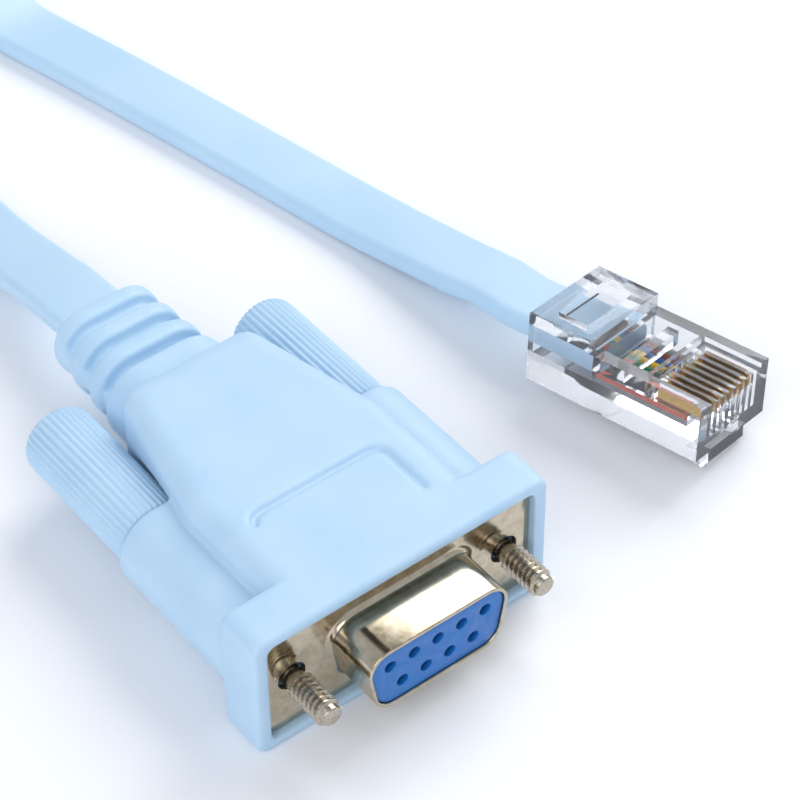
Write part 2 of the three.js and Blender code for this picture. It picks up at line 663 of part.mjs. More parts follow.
function coilLimits() {
  const side = CABLE_T / 2;
  return [COIL_INNER_R - side, COIL_INNER_R + COIL_TURNS * TURN_PITCH + side];
}

function coil() {
  const [inner, outer] = coilLimits();
  const top = COIL_LIFT + CABLE_W;
  const profile = [
    [inner, COIL_LIFT], [outer, COIL_LIFT], [outer, top], [inner, top], [inner, COIL_LIFT],
  ];
  return piece("cable_coil", lathe(profile, COIL_SIDES).rotateX(Math.PI / 2), PALE_BLUE_PVC);
}

function tie() {
  const [inner, outer] = coilLimits();
  const flat = Math.cos(Math.PI / COIL_SIDES);
  const near = Math.sqrt((inner * flat) ** 2 - (TIE_W / 2) ** 2) - TIE_FIT;
  const far = outer + TIE_FIT;
  const top = COIL_LIFT + CABLE_W + TIE_FIT;
  const outside = box(near - TIE_T, far + TIE_T, -TIE_W / 2, TIE_W / 2, 0, top + TIE_T);
  const opening = box(near, far, -TIE_W, TIE_W, TIE_T, top);
  const mesh = piece("cable_tie", cut(solid(outside), [opening]), TIE_WHITE);
  mesh.rotation.z = TIE_ANGLE;
  return mesh;
}

// Assembly
const connector = new THREE.Group();
connector.add(piece("moulded_hood", hood(), PALE_BLUE_PVC));
connector.add(piece("metal_shell", shell(), NICKEL));
connector.add(piece("socket_insulator", insulator(), BLUE_NYLON));
contactPlaces().forEach(([x, z], i) => {
  const socket = piece("socket_contact_" + (i + 1), contact(), GOLD);
  socket.position.set(x, 0, z);
  connector.add(socket);
});
connector.add(thumbscrew(-1, "left"), thumbscrew(1, "right"));
connector.position.set(0, -MIDDLE_Y, AXIS_Z);

const wound = new THREE.Group();
wound.add(coil(), tie());
wound.position.set(COIL_CENTRE.x, COIL_CENTRE.y, 0);

const modularPlug = plug();
const hoodRoute = [...hoodExit(), ...HOOD_ROUTE];
const plugRoute = [...plugExit(modularPlug.matrix), ...PLUG_ROUTE];

const cable = new THREE.Group();
cable.add(connector, modularPlug, wound);
cable.add(flatCable("cable_from_hood", hoodRoute, HOOD_ROUTE_STEPS));
cable.add(flatCable("cable_to_plug", plugRoute, PLUG_ROUTE_STEPS));

export default cable;
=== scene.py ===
"""Looks of a flat console cable: hooded D socket, clear modular plug and a tied coil."""

import json
import logging
import math
from dataclasses import dataclass
from enum import Enum
from typing import Any, Iterable, Sequence

import bmesh
import bpy
from bmesh.types import BMEdge, BMesh, BMVert
from bpy.types import Material, Node, NodeSocket, NodeTree, Object
from mathutils import Matrix, Vector

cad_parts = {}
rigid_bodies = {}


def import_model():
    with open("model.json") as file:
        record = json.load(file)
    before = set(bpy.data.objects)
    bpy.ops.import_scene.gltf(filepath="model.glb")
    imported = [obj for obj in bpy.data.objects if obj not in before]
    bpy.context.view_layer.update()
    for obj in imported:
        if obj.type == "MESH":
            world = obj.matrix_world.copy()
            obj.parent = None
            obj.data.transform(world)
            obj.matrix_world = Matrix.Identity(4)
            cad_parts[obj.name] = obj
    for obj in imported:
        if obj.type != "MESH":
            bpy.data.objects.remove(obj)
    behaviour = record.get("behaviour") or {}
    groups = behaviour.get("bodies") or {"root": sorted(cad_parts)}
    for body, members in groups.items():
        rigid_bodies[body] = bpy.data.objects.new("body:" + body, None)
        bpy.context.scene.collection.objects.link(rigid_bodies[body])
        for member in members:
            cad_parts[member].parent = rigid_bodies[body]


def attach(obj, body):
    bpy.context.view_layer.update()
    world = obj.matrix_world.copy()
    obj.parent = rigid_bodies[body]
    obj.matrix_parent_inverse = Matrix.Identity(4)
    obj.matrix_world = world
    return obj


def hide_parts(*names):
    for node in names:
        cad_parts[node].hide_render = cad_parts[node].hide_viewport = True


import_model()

log = logging.getLogger("console_cable")

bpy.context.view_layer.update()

MM = 0.001
ROOT_BODY = "cable_body"

# The D connector's own frame: Y from its flange's front, Z from the middle of its height.
FLANGE_Y = -21.675
AXIS_Z = 7.6
CONNECTOR_PLACE = Matrix.Translation((0.0, FLANGE_Y, AXIS_Z))

# The modular plug's own frame: Y from its rear face, Z from its underside.
PLUG_ROLL = 7.95
PLUG_PLACE = (
    Matrix.Translation((38.2, 0.05, 1.52))
    @ Matrix.Rotation(math.radians(11.88), 4, "Z")
    @ Matrix.Rotation(math.radians(-4.28), 4, "X")
    @ Matrix.Rotation(math.radians(PLUG_ROLL), 4, "Y")
)
JACKET_IN_PLUG = 7.3
JACKET_Z = 4.4

COIL_CENTRE = (-3.0, 148.0)

# Turns what was drawn in X and Z to lie in X and Y.
LAID_DOWN = Matrix(((1, 0, 0), (0, 0, 1), (0, 1, 0))).to_4x4()

RoutePoint = tuple[float, float, float, float]


def linear(code: str) -> tuple[float, float, float, float]:
    """Turn an sRGB hex colour into linear values.

    Args:
        code: The colour as "#RRGGBB".

    Returns:
        Red, green, blue and an alpha of one.
    """
    parts = [int(code[i : i + 2], 16) / 255 for i in (1, 3, 5)]
    low = [p / 12.92 if p <= 0.04045 else ((p + 0.055) / 1.055) ** 2.4 for p in parts]
    return (low[0], low[1], low[2], 1.0)


def add_node(
    tree: NodeTree,
    kind: str,
    values: dict[Any, Any] | None = None,
    links: dict[Any, NodeSocket] | None = None,
    **options: Any,
) -> Node:
    """Add one node with its settings and its incoming links.

    Args:
        tree: The tree that gets the node.
        kind: The node's type name.
        values: Input socket name or number to its value.
        links: Input socket name or number to the socket that feeds it.
        **options: The node's own properties.

    Returns:
        The new node.
    """
    node = tree.nodes.new(kind)
    for name, value in options.items():
        setattr(node, name, value)
    for socket, value in (values or {}).items():
        node.inputs[socket].default_value = value
    for socket, source in (links or {}).items():
        tree.links.new(source, node.inputs[socket])
    return node


def colour_ramp(
    tree: NodeTree,
    factor: NodeSocket,
    stops: Sequence[tuple[float, str]],
) -> NodeSocket:
    """Add a colour ramp and give it its stops.

    Args:
        tree: The tree that gets the node.
        factor: The socket that drives the ramp.
        stops: Position and hex colour of each stop.

    Returns:
        The ramp's colour output.
    """
    node = add_node(tree, "ShaderNodeValToRGB", links={"Fac": factor})
    ramp = node.color_ramp
    while len(ramp.elements) < len(stops):
        ramp.elements.new(0.5)
    for element, (position, code) in zip(ramp.elements, stops):
        element.position = position
        element.color = linear(code)
    return node.outputs["Color"]


class MouldWear(Enum):
    """How deep a moulded surface shows its tool, as the strength of its relief."""

    POLISHED = 0.1
    GLASS_FILLED = 0.12
    SPARK_ERODED = 0.14


class Surface:
    """A material in the making: its shader and the ways in which a surface varies."""

    def __init__(self, name: str) -> None:
        """Start the material.

        Args:
            name: Its name.
        """
        self.material = bpy.data.materials.new(name)
        self.material.use_nodes = True
        self.tree = self.material.node_tree
        self.shader = self.tree.nodes["Principled BSDF"]

    def place(self) -> NodeSocket:
        """Give the Object coordinates, in metres."""
        return add_node(self.tree, "ShaderNodeTexCoord").outputs["Object"]

    def noise(
        self, place: NodeSocket, scale: float, detail: float = 2.0,
        roughness: float = 0.5, **options: Any,
    ) -> NodeSocket:
        """Add a noise.

        Args:
            place: The coordinates.
            scale: Its scale, so 1000 makes blots of about a millimetre.
            detail: Its finer layers.
            roughness: Their strength.
            **options: The node's own properties.

        Returns:
            The noise's value.
        """
        values = {"Scale": scale, "Detail": detail, "Roughness": roughness}
        node = add_node(self.tree, "ShaderNodeTexNoise", values, {"Vector": place}, **options)
        return node.outputs["Fac"]

    def vary_colour(
        self, factor: NodeSocket, deep: str, body: str, low: float = 0.3, high: float = 0.7
    ) -> None:
        """Blend two colours by a value.

        Args:
            factor: The value.
            deep: The colour at its low end.
            body: The colour at its high end.
            low: Where the blend starts.
            high: Where the blend ends.
        """
        colour = colour_ramp(self.tree, factor, [(low, deep), (high, body)])
        self.tree.links.new(colour, self.shader.inputs["Base Color"])

    def vary_gloss(self, factor: NodeSocket, low: float, high: float) -> None:
        """Vary the roughness by a value.

        Args:
            factor: The value.
            low: The roughness at zero.
            high: The roughness at one.
        """
        limits = {"To Min": low, "To Max": high}
        gloss = add_node(self.tree, "ShaderNodeMapRange", limits, {"Value": factor})
        self.tree.links.new(gloss.outputs["Result"], self.shader.inputs["Roughness"])

    def relieve(self, height: NodeSocket, strength: float, distance: float) -> None:
        """Add fine relief.

        Args:
            height: The value that raises it.
            strength: Its strength.
            distance: Its full height in metres.
        """
        values = {"Strength": strength, "Distance": distance}
        bump = add_node(self.tree, "ShaderNodeBump", values, {"Height": height})
        self.tree.links.new(bump.outputs["Normal"], self.shader.inputs["Normal"])

    def finish(self, values: dict[str, Any]) -> Material:
        """Set the even values and hand the material over.

        Args:
            values: Shader socket name to its value.

        Returns:
            The material.
        """
        for name, value in values.items():
            self.shader.inputs[name].default_value = value
        return self.material


# Soft PVC lets a little light in, and blue travels furthest in it.
SOFT_PVC = {
    "IOR": 1.53, "Subsurface Weight": 0.12, "Subsurface Scale": 0.001,
    "Subsurface Radius": (0.5, 0.8, 1.0),
}


@dataclass(frozen=True)
class MouldedPvc:
    """Plasticised PVC, injected over the connector: satin, slightly waxy, with soft lights."""

    name: str = "moulded_pale_blue_pvc"
    body: str = "#BBD8EE"
    deep: str = "#B2D2EB"
    roughness: float = 0.46
    texture: MouldWear = MouldWear.SPARK_ERODED

    def build(self) -> Material:
        """Build the material.

        Returns:
            The material, on Object coordinates.
        """
        surface = Surface(self.name)
        place = surface.place()
        # Flow marks of the moulding are several millimetres long and very faint.
        flow = surface.noise(place, 140.0, 3.0)
        surface.vary_colour(flow, self.deep, self.body)
        surface.vary_gloss(flow, self.roughness - 0.05, self.roughness + 0.07)
        # The tool's spark-eroded grain is about 0.1 mm, drawn at 0.25 mm so that it shows.
        grain = surface.noise(place, 4000.0, 2.0, 0.6)
        surface.relieve(grain, self.texture.value, 0.00005)
        return surface.finish(SOFT_PVC)


@dataclass(frozen=True)
class ExtrudedJacket:
    """PVC jacket pulled through a flat die: even satin with fine lengthwise draw lines."""

    name: str = "extruded_pale_blue_jacket"
    body: str = "#BEDAEF"
    deep: str = "#B6D5EC"
    roughness: float = 0.42
    line_mm: float = 0.5

    def build(self) -> Material:
        """Build the material.

        Returns:
            The material, on the jacket's own UV map in metres.
        """
        surface = Surface(self.name)
        uv = add_node(surface.tree, "ShaderNodeUVMap", uv_map="jacket").outputs["UV"]
        # Draw lines run the cable's length, so the pattern is squeezed across it only.
        squeeze = {"Scale": (12.0, 1000.0 / self.line_mm, 1.0)}
        drawn = add_node(surface.tree, "ShaderNodeMapping", squeeze, {"Vector": uv})
        lines = surface.noise(drawn.outputs["Vector"], 1.0, noise_dimensions="2D")
        patches = surface.noise(uv, 60.0, noise_dimensions="2D")
        surface.vary_colour(patches, self.deep, self.body)
        surface.vary_gloss(patches, self.roughness - 0.05, self.roughness + 0.06)
        surface.relieve(lines, 0.12, 0.00003)
        return surface.finish(SOFT_PVC)


@dataclass(frozen=True)
class PlatedMetal:
    """Thin plating on drawn, turned or stamped metal: a clear mirror with faint working marks."""

    name: str
    bright: str
    dull: str
    roughness: float
    mark_mm: float = 0.6

    def build(self) -> Material:
        """Build the material.

        Returns:
            The material, on Object coordinates.
        """
        surface = Surface(self.name)
        marks = surface.noise(surface.place(), 1000.0 / self.mark_mm, 4.0, 0.65)
        surface.vary_colour(marks, self.dull, self.bright, 0.35, 0.65)
        surface.vary_gloss(marks, self.roughness * 0.75, self.roughness * 1.35)
        surface.relieve(marks, 0.15, 0.00002)
        return surface.finish({"Metallic": 1.0})


@dataclass(frozen=True)
class MouldedNylon:
    """Glass-filled PBT or nylon from a tool: fine satin with a slight mottle."""

    name: str
    body: str
    deep: str
    roughness: float = 0.4

    def build(self) -> Material:
        """Build the material.

        Returns:
            The material, on Object coordinates.
        """
        surface = Surface(self.name)
        # Short glass fibres mottle the face at about 0.4 mm.
        fibres = surface.noise(surface.place(), 2500.0, 3.0)
        surface.vary_colour(fibres, self.deep, self.body)
        surface.relieve(fibres, MouldWear.GLASS_FILLED.value, 0.00004)
        return surface.finish({"Roughness": self.roughness, "IOR": 1.56})


@dataclass(frozen=True)
class ClearPolycarbonate:
    """Injection-moulded polycarbonate: water-clear and glossy."""

    name: str = "clear_polycarbonate"
    tint: str = "#FCFDFF"
    roughness: float = 0.03

    def build(self) -> Material:
        """Build the material.

        Returns:
            The material, on Object coordinates.
        """
        surface = Surface(self.name)
        # Flow lines and sink marks of a millimetre or so bend what is seen through the wall.
        flow = surface.noise(surface.place(), 500.0)
        surface.relieve(flow, MouldWear.POLISHED.value, 0.00005)
        surface.vary_gloss(flow, self.roughness * 0.5, self.roughness * 2.0)
        # The index is below the plastic's 1.585, which darkens the thick corners too much.
        values = {"Base Color": linear(self.tint), "IOR": 1.36, "Transmission Weight": 0.96}
        return surface.finish(values)


@dataclass(frozen=True)
class FloorSheet:
    """Plain pale backdrop paper under and behind the object."""

    name: str = "pale_floor"
    colour: str = "#F6F7FA"

    def build(self) -> Material:
        """Build the material.

        Returns:
            The material.
        """
        return Surface(self.name).finish({"Base Color": linear(self.colour), "Roughness": 0.75})


def object_from(
    bm: BMesh,
    name: str,
    place: Matrix,
    material: Material | None = None,
) -> Object:
    """Make an object of a bmesh in millimetres, with its place in its mesh.

    Args:
        bm: The bmesh, which is freed.
        name: The object's name.
        place: From the bmesh's frame to the part's, in millimetres.
        material: The object's material.

    Returns:
        The linked object, at the origin and in metres.
    """
    bmesh.ops.recalc_face_normals(bm, faces=bm.faces)
    bmesh.ops.transform(bm, matrix=Matrix.Scale(MM, 4) @ place, verts=bm.verts)
    mesh = bpy.data.meshes.new(name)
    bm.to_mesh(mesh)
    bm.free()
    obj = bpy.data.objects.new(name, mesh)
    bpy.context.scene.collection.objects.link(obj)
    if material:
        mesh.materials.append(material)
    return obj


def settle(obj: Object) -> None:
    """Turn an object's modifiers into its mesh.

    Args:
        obj: The object.
    """
    graph = bpy.context.evaluated_depsgraph_get()
    made = bpy.data.meshes.new_from_object(obj.evaluated_get(graph))
    obj.modifiers.clear()
    old = obj.data
    obj.data = made
    bpy.data.meshes.remove(old)


def combine(
    obj: Object, others: Iterable[Object], operation: str
) -> None:
    """Join other closed shapes to an object, or cut them from it.

    Args:
        obj: The object that is changed.
        others: The shapes, which are used up.
        operation: UNION or DIFFERENCE.
    """
    for other in others:
        modifier = obj.modifiers.new("combine", "BOOLEAN")
        modifier.operation = operation
        modifier.object = other
        modifier.solver = "EXACT"
        settle(obj)
        used = other.data
        bpy.data.objects.remove(other)
        bpy.data.meshes.remove(used)


def smooth_edges(obj: Object, degrees: float = 35.0) -> None:
    """Shade a mesh smooth, with sharp edges past an angle.

    Args:
        obj: The object.
        degrees: The angle past which an edge stays sharp.
    """
    obj.data.shade_smooth()
    obj.data.set_sharp_from_angle(angle=math.radians(degrees))


def soften(obj: Object, width_mm: float, segments: int = 2, degrees: float = 30.0) -> None:
    """Round an object's hard edges with a Bevel modifier.

    Args:
        obj: The object.
        width_mm: The rounding's width.
        segments: The rounding's steps.
        degrees: Edges sharper than this are rounded.
    """
    bevel = obj.modifiers.new("soft_edges", "BEVEL")
    bevel.width = width_mm * MM
    bevel.segments = segments
    bevel.limit_method = "ANGLE"
    bevel.angle_limit = math.radians(degrees)
    bevel.miter_outer = "MITER_ARC"
    bevel.harden_normals = False
    settle(obj)


def round_edges(
    bm: BMesh, edges: Sequence[BMEdge], radius: float, steps: int
) -> None:
    """Round some edges of a bmesh.

    Args:
        bm: The bmesh.
        edges: The edges.
        radius: The rounding's width, in the bmesh's unit.
        steps: The rounding's steps.
    """
    bmesh.ops.bevel(
        bm, geom=edges, offset=radius, offset_type="OFFSET", segments=steps, profile=0.5,
        affect="EDGES", material=-1,
    )


def end_edges(bm: BMesh) -> list[BMEdge]:
    """Find the edges round the two ends of a bar along Y.

    Args:
        bm: The bar.

    Returns:
        The edges.
    """
    return [e for e in bm.edges if abs(e.verts[0].co.y - e.verts[1].co.y) < 1e-6]


def block(
    x: tuple[float, float], y: tuple[float, float], z: tuple[float, float], edge: float = 0.0
) -> BMesh:
    """Make a box between limits, with rounded edges if asked.

    Args:
        x: Low and high X.
        y: Low and high Y.
        z: Low and high Z.
        edge: Radius of all its edges.

    Returns:
        The bmesh.
    """
    bm = bmesh.new()
    bmesh.ops.create_cube(bm, size=1.0)
    size = Vector((x[1] - x[0], y[1] - y[0], z[1] - z[0]))
    middle = Vector((sum(x) / 2, sum(y) / 2, sum(z) / 2))
    bmesh.ops.scale(bm, vec=size, verts=bm.verts)
    bmesh.ops.translate(bm, vec=middle, verts=bm.verts)
    if edge:
        round_edges(bm, bm.edges[:], edge, 3)
    return bm


def rod(
    radius: float, y: tuple[float, float], x: float = 0.0, z: float = 0.0, sides: int = 48
) -> BMesh:
    """Make a round bar along Y.

    Args:
        radius: Its radius.
        y: Its low and high Y.
        x: Its axis's X.
        z: Its axis's Z.
        sides: Its number of sides.

    Returns:
        The bmesh.
    """
    bm = bmesh.new()
    bmesh.ops.create_cone(
        bm, cap_ends=True, segments=sides, radius1=radius, radius2=radius, depth=y[1] - y[0]
    )
    turn = Matrix.Rotation(-math.pi / 2, 3, "X")
    bmesh.ops.rotate(bm, cent=(0, 0, 0), matrix=turn, verts=bm.verts)
    bmesh.ops.translate(bm, vec=(x, sum(y) / 2, z), verts=bm.verts)
    return bm


def plate(
    corners: Sequence[tuple[float, float]], radii: Sequence[float], steps: int = 8
) -> BMesh:
    """Make a flat face in X and Z with rounded corners.

    Args:
        corners: The corners as X and Z.
        radii: The radius of each corner.
        steps: Steps in each rounding.

    Returns:
        The bmesh, with one face at Y = 0.
    """
    bm = bmesh.new()
    made = [bm.verts.new((x, 0.0, z)) for x, z in corners]
    bm.faces.new(made)
    for corner, radius in zip(made, radii):
        if radius:
            bmesh.ops.bevel(
                bm, geom=[corner], offset=corner_reach(corner, radius), offset_type="OFFSET",
                segments=steps, profile=0.5, affect="VERTICES", material=-1,
            )
    return bm


def corner_reach(corner: BMVert, radius: float) -> float:
    """Work out how far from a corner a round of a given radius starts.

    Args:
        corner: A corner of one flat face.
        radius: The wanted radius.

    Returns:
        The distance along each of its two edges.
    """
    a, b = [(e.other_vert(corner).co - corner.co).normalized() for e in corner.link_edges]
    return radius / math.tan(a.angle(b) / 2)


def push(bm: BMesh, along: tuple[float, float, float]) -> None:
    """Extrude every face of a flat bmesh into a closed prism.

    Args:
        bm: The bmesh.
        along: The extrusion.
    """
    made = bmesh.ops.extrude_face_region(bm, geom=bm.faces[:])
    moved = [g for g in made["geom"] if isinstance(g, BMVert)]
    bmesh.ops.translate(bm, vec=along, verts=moved)
    bmesh.ops.recalc_face_normals(bm, faces=bm.faces)


def rounded_bar(
    half_w: float, half_h: float, corner: float, y: tuple[float, float], edge: float = 0.0
) -> BMesh:
    """Make a bar along Y with a rounded rectangular section.

    Args:
        half_w: Half its width.
        half_h: Half its height.
        corner: The section's corner radius.
        y: Its low and high Y.
        edge: Rounding of its two ends.

    Returns:
        The bmesh.
    """
    corners = [(half_w, half_h), (-half_w, half_h), (-half_w, -half_h), (half_w, -half_h)]
    bm = plate(corners, [corner] * 4)
    push(bm, (0.0, y[1] - y[0], 0.0))
    bmesh.ops.translate(bm, vec=(0.0, y[0], 0.0), verts=bm.verts)
    if edge:
        round_edges(bm, end_edges(bm), edge, 3)
    return bm


@dataclass
class Studio:
    """Camera at the photograph's angle, pale floor and soft lights."""

    stand: tuple[float, float, float] = (-108.6, -162.3, 212.6)
    azimuth: float = -37.73
    elevation: float = 44.93
    roll: float = -0.54
    lens: float = 131.06
    # Each light's place and side in metres, and its power in watts.
    key: tuple[tuple[float, float, float], float, float] = ((0.52, 0.20, 0.54), 0.55, 4.24)
    fill: tuple[tuple[float, float, float], float, float] = ((-0.50, -0.25, 0.50), 0.60, 2.2)
    aim: tuple[float, float, float] = (0.015, 0.0, 0.005)
    sky: float = 0.69
    sky_colour: str = "#EDF3FD"
    screen_colour: str = "#3E3A36"
    screen_way: tuple[float, float, float] = (0.37, 0.56, 0.74)

    def build(self) -> None:
        """Build the camera, the floor and the lights."""
        self.place_camera()
        self.lay_floor()
        self.light()

    def place_camera(self) -> None:
        """Place the camera as it stood for the photograph."""
        a, e, r = (math.radians(v) for v in (self.azimuth, self.elevation, self.roll))
        back = Vector((math.sin(a) * math.cos(e), -math.cos(a) * math.cos(e), math.sin(e)))
        level = Vector((math.cos(a), math.sin(a), 0.0))
        lift = back.cross(level)
        right = level * math.cos(r) + lift * math.sin(r)
        up = -level * math.sin(r) + lift * math.cos(r)
        data = bpy.data.cameras.new("view_camera")
        data.lens = self.lens
        data.sensor_width = 36.0
        data.clip_start, data.clip_end = 0.01, 20.0
        camera = bpy.data.objects.new("view_camera", data)
        turn = Matrix((right, up, back)).transposed().to_4x4()
        camera.matrix_world = Matrix.Translation(Vector(self.stand) * MM) @ turn
        bpy.context.scene.collection.objects.link(camera)
        bpy.context.scene.camera = camera

    def lay_floor(self) -> None:
        """Lay the plain floor."""
        bm = bmesh.new()
        bmesh.ops.create_grid(bm, x_segments=1, y_segments=1, size=4000.0)
        floor = object_from(bm, "studio_floor", Matrix.Identity(4), FloorSheet().build())

    def light(self) -> None:
        """Hang the key, the fill and the sky."""
        self.softbox("key_light", *self.key)
        self.softbox("fill_light", *self.fill)
        world = bpy.data.worlds.new("studio_sky")
        world.use_nodes = True
        ground = world.node_tree.nodes["Background"]
        # A dark screen stands where the plated tops would mirror the sky into the camera.
        tree = world.node_tree
        way = add_node(tree, "ShaderNodeTexCoord").outputs["Generated"]
        towards = add_node(
            tree, "ShaderNodeVectorMath", {1: self.screen_way}, {0: way}, operation="DOT_PRODUCT"
        )
        stops = [(0.80, self.sky_colour), (0.90, self.screen_colour)]
        screened = colour_ramp(tree, towards.outputs["Value"], stops)
        tree.links.new(screened, ground.inputs["Color"])
        ground.inputs["Strength"].default_value = self.sky
        bpy.context.scene.world = world
        bpy.context.scene.view_settings.view_transform = "Standard"
        bpy.context.scene.view_settings.look = "None"

    def softbox(
        self, name: str, stand: tuple[float, float, float], size: float, power: float
    ) -> None:
        """Hang one square soft light that faces the object.

        Args:
            name: The light's name.
            stand: Its place in metres.
            size: Its side in metres.
            power: Its power in watts.
        """
        data = bpy.data.lights.new(name, "AREA")
        data.shape = "SQUARE"
        data.size = size
        data.energy = power
        lamp = bpy.data.objects.new(name, data)
        way = Vector(self.aim) - Vector(stand)
        turn = way.to_track_quat("-Z", "Y").to_matrix().to_4x4()
        lamp.matrix_world = Matrix.Translation(stand) @ turn
        bpy.context.scene.collection.objects.link(lamp)


@dataclass
class FlatCable:
    """The cable itself: a flat jacket from the hood, round its coil and on to the plug."""

    width: float = 8.0
    thickness: float = 2.6
    edge: float = 1.0
    length: float = 1.8
    exit: tuple[float, float, float] = (0.0, 27.825, 7.6)
    ring_step: float = 2.2
    coil_centre: tuple[float, float] = COIL_CENTRE
    coil_z: float = 4.65
    outer_r: float = 49.95
    pitch: float = 3.0
    join_r: float = 51.6
    first_angle: float = 232.0
    last_angle: float = 80.0
    full_turns: int = 5
    # Chosen points: X, Y, Z and the tilt of the width, its left edge up, in degrees.
    from_hood: Sequence[RoutePoint] = (
        (0.0, 27.4, 7.6, 0), (0.0, 30.6, 7.45, 0), (0.1, 35, 6.9, 0), (0.3, 39, 5.8, 0),
        (0.6, 43, 4.5, 0), (0.9, 47.5, 3.1, 0), (1.2, 52, 2.0, 0), (1.3, 57, 1.45, 0),
        (0.9, 63, 1.35, 0), (-0.7, 68.5, 1.4, 0), (-3.8, 74.5, 2.45, 12), (-9.0, 82, 3.6, 35),
        (-15.8, 89.8, 4.4, 60), (-22.3, 96.4, 4.6, 80), (-28.9, 102.6, 4.65, 90),
    )
    # Polar points about the coil's centre where the inner turn lifts out: angle, radius, Z, tilt.
    lift_out: Sequence[RoutePoint] = (
        (60.0, 30.4, 5.3, 82), (40.0, 26.6, 7.3, 56), (20.0, 23.6, 9.3, 24), (0.0, 22.2, 10.2, 4),
        (-20.0, 22.6, 10.25, 0), (-38.0, 25.8, 10.25, 0),
    )
    to_plug: Sequence[RoutePoint] = (
        (17.4, 122, 10.25, 0), (17.9, 113.5, 10.25, 0), (18.9, 105.5, 10.25, 0),
        (20.0, 99.5, 10.1, 0), (21.3, 94, 8.0, 0), (22.4, 89.5, 5.0, 0), (23.3, 85.7, 2.7, 0),
        (24.1, 82, 1.5, 0), (25.1, 78, 1.35, 0), (27.1, 69.4, 1.35, 0), (29.6, 58, 1.35, 0),
        (32.0, 46.4, 1.35, 0), (33.5, 39, 1.35, 0), (34.8, 32, 1.5, 0), (35.8, 26, 1.95, -1),
        (36.5, 20, 2.9, -3), (37.1, 14, 4.0, -5), (37.7, 9.5, 4.9, -7),
    )

    def turns(self) -> list[RoutePoint]:
        """Wind the coil's turns, from its outside in.

        Returns:
            Sixteen points a turn.
        """
        swept = self.first_angle - self.last_angle + 360.0 * self.full_turns
        steps = round(swept / 22.5)
        points = []
        for i in range(steps + 1):
            done = swept * i / steps
            ease = max(0.0, 1.0 - done / 45.0)
            spare = (self.join_r - self.outer_r) * ease * ease * (3 - 2 * ease)
            radius = self.outer_r - self.pitch * done / 360.0 + spare
            points.append(self.polar(self.first_angle - done, radius, self.coil_z, 90.0))
        return points

    def polar(self, angle: float, radius: float, z: float, tilt: float) -> RoutePoint:
        """Place a point about the coil's centre.

        Args:
            angle: Its direction in degrees.
            radius: Its distance from the centre.
            z: Its height.
            tilt: The width's tilt there.

        Returns:
            The route point.
        """
        a = math.radians(angle)
        x, y = self.coil_centre
        return (x + radius * math.cos(a), y + radius * math.sin(a), z, tilt)

    def route(self) -> list[RoutePoint]:
        """Put the whole route together, up to the jacket's end inside the plug.

        Returns:
            The route points.
        """
        ends = []
        for y in (5.3, 0.3, -JACKET_IN_PLUG):
            p = PLUG_PLACE @ Vector((0.0, y, JACKET_Z))
            ends.append((p.x, p.y, p.z, -PLUG_ROLL))
        lifted = [self.polar(*p) for p in self.lift_out]
        return [*self.from_hood, *self.turns(), *lifted, *self.to_plug, *ends]

    def samples(self) -> list[tuple[Vector, float]]:
        """Follow a centripetal spline through the route at even steps.

        Returns:
            Place and tilt in radians of each ring.
        """
        route = [(Vector(p[:3]), math.radians(p[3])) for p in self.route()]
        fine: list[tuple[Vector, float]] = []
        for i in range(len(route) - 1):
            four = [route[max(i - 1, 0)], route[i], route[i + 1], route[min(i + 2, len(route) - 1)]]
            fine += [self.spline(four, step / 12) for step in range(12)]
        fine.append(route[-1])
        rings = [fine[0]]
        carried = 0.0
        for before, after in zip(fine, fine[1:]):
            carried += (after[0] - before[0]).length
            if carried >= self.ring_step:
                rings.append(after)
                carried = 0.0
        rings[-1] = fine[-1]
        return rings

    @staticmethod
    def spline(four: Sequence[tuple[Vector, float]], t: float) -> tuple[Vector, float]:
        """Blend four route points.

        Args:
            four: The points before, at the start, at the end and after.
            t: How far the place is from start to end.

        Returns:
            Place and tilt.
        """
        a, b, c, d = four
        near = max((c[0] - b[0]).length, 1e-6)
        first = max((b[0] - a[0]).length, 1e-6)
        last = max((d[0] - c[0]).length, 1e-6)
        k0, k1, k2 = (math.sqrt(v) for v in (first, near, last))

        def hermite(p0: Any, p1: Any, p2: Any, p3: Any) -> Any:
            """Blend one quantity.

            Args:
                p0: Its value before.
                p1: Its value at the start.
                p2: Its value at the end.
                p3: Its value after.

            Returns:
                The blended value.
            """
            m1 = ((p1 - p0) / k0 - (p2 - p0) / (k0 + k1) + (p2 - p1) / k1) * k1
            m2 = ((p2 - p1) / k1 - (p3 - p1) / (k1 + k2) + (p3 - p2) / k2) * k1
            t2, t3 = t * t, t * t * t
            return (
                p1 * (2 * t3 - 3 * t2 + 1) + m1 * (t3 - 2 * t2 + t)
                + p2 * (-2 * t3 + 3 * t2) + m2 * (t3 - t2)
            )

        if first < 1e-5:
            k0 = k1
            a = (b[0] * 2 - c[0], b[1] * 2 - c[1])
        if last < 1e-5:
            k2 = k1
            d = (c[0] * 2 - b[0], c[1] * 2 - b[1])
        return hermite(a[0], b[0], c[0], d[0]), hermite(a[1], b[1], c[1], d[1])

    def section(self) -> list[Vector]:
        """Draw the jacket's section, its width along X.

        Returns:
            The section's points, in order.
        """
        bm = plate(
            [(self.width / 2, self.thickness / 2), (-self.width / 2, self.thickness / 2),
             (-self.width / 2, -self.thickness / 2), (self.width / 2, -self.thickness / 2)],
            [self.edge] * 4, steps=5,
        )
        loop = [Vector((v.co.x, v.co.z, 0.0)) for v in bm.faces[:][0].verts]
        bm.free()
        return loop

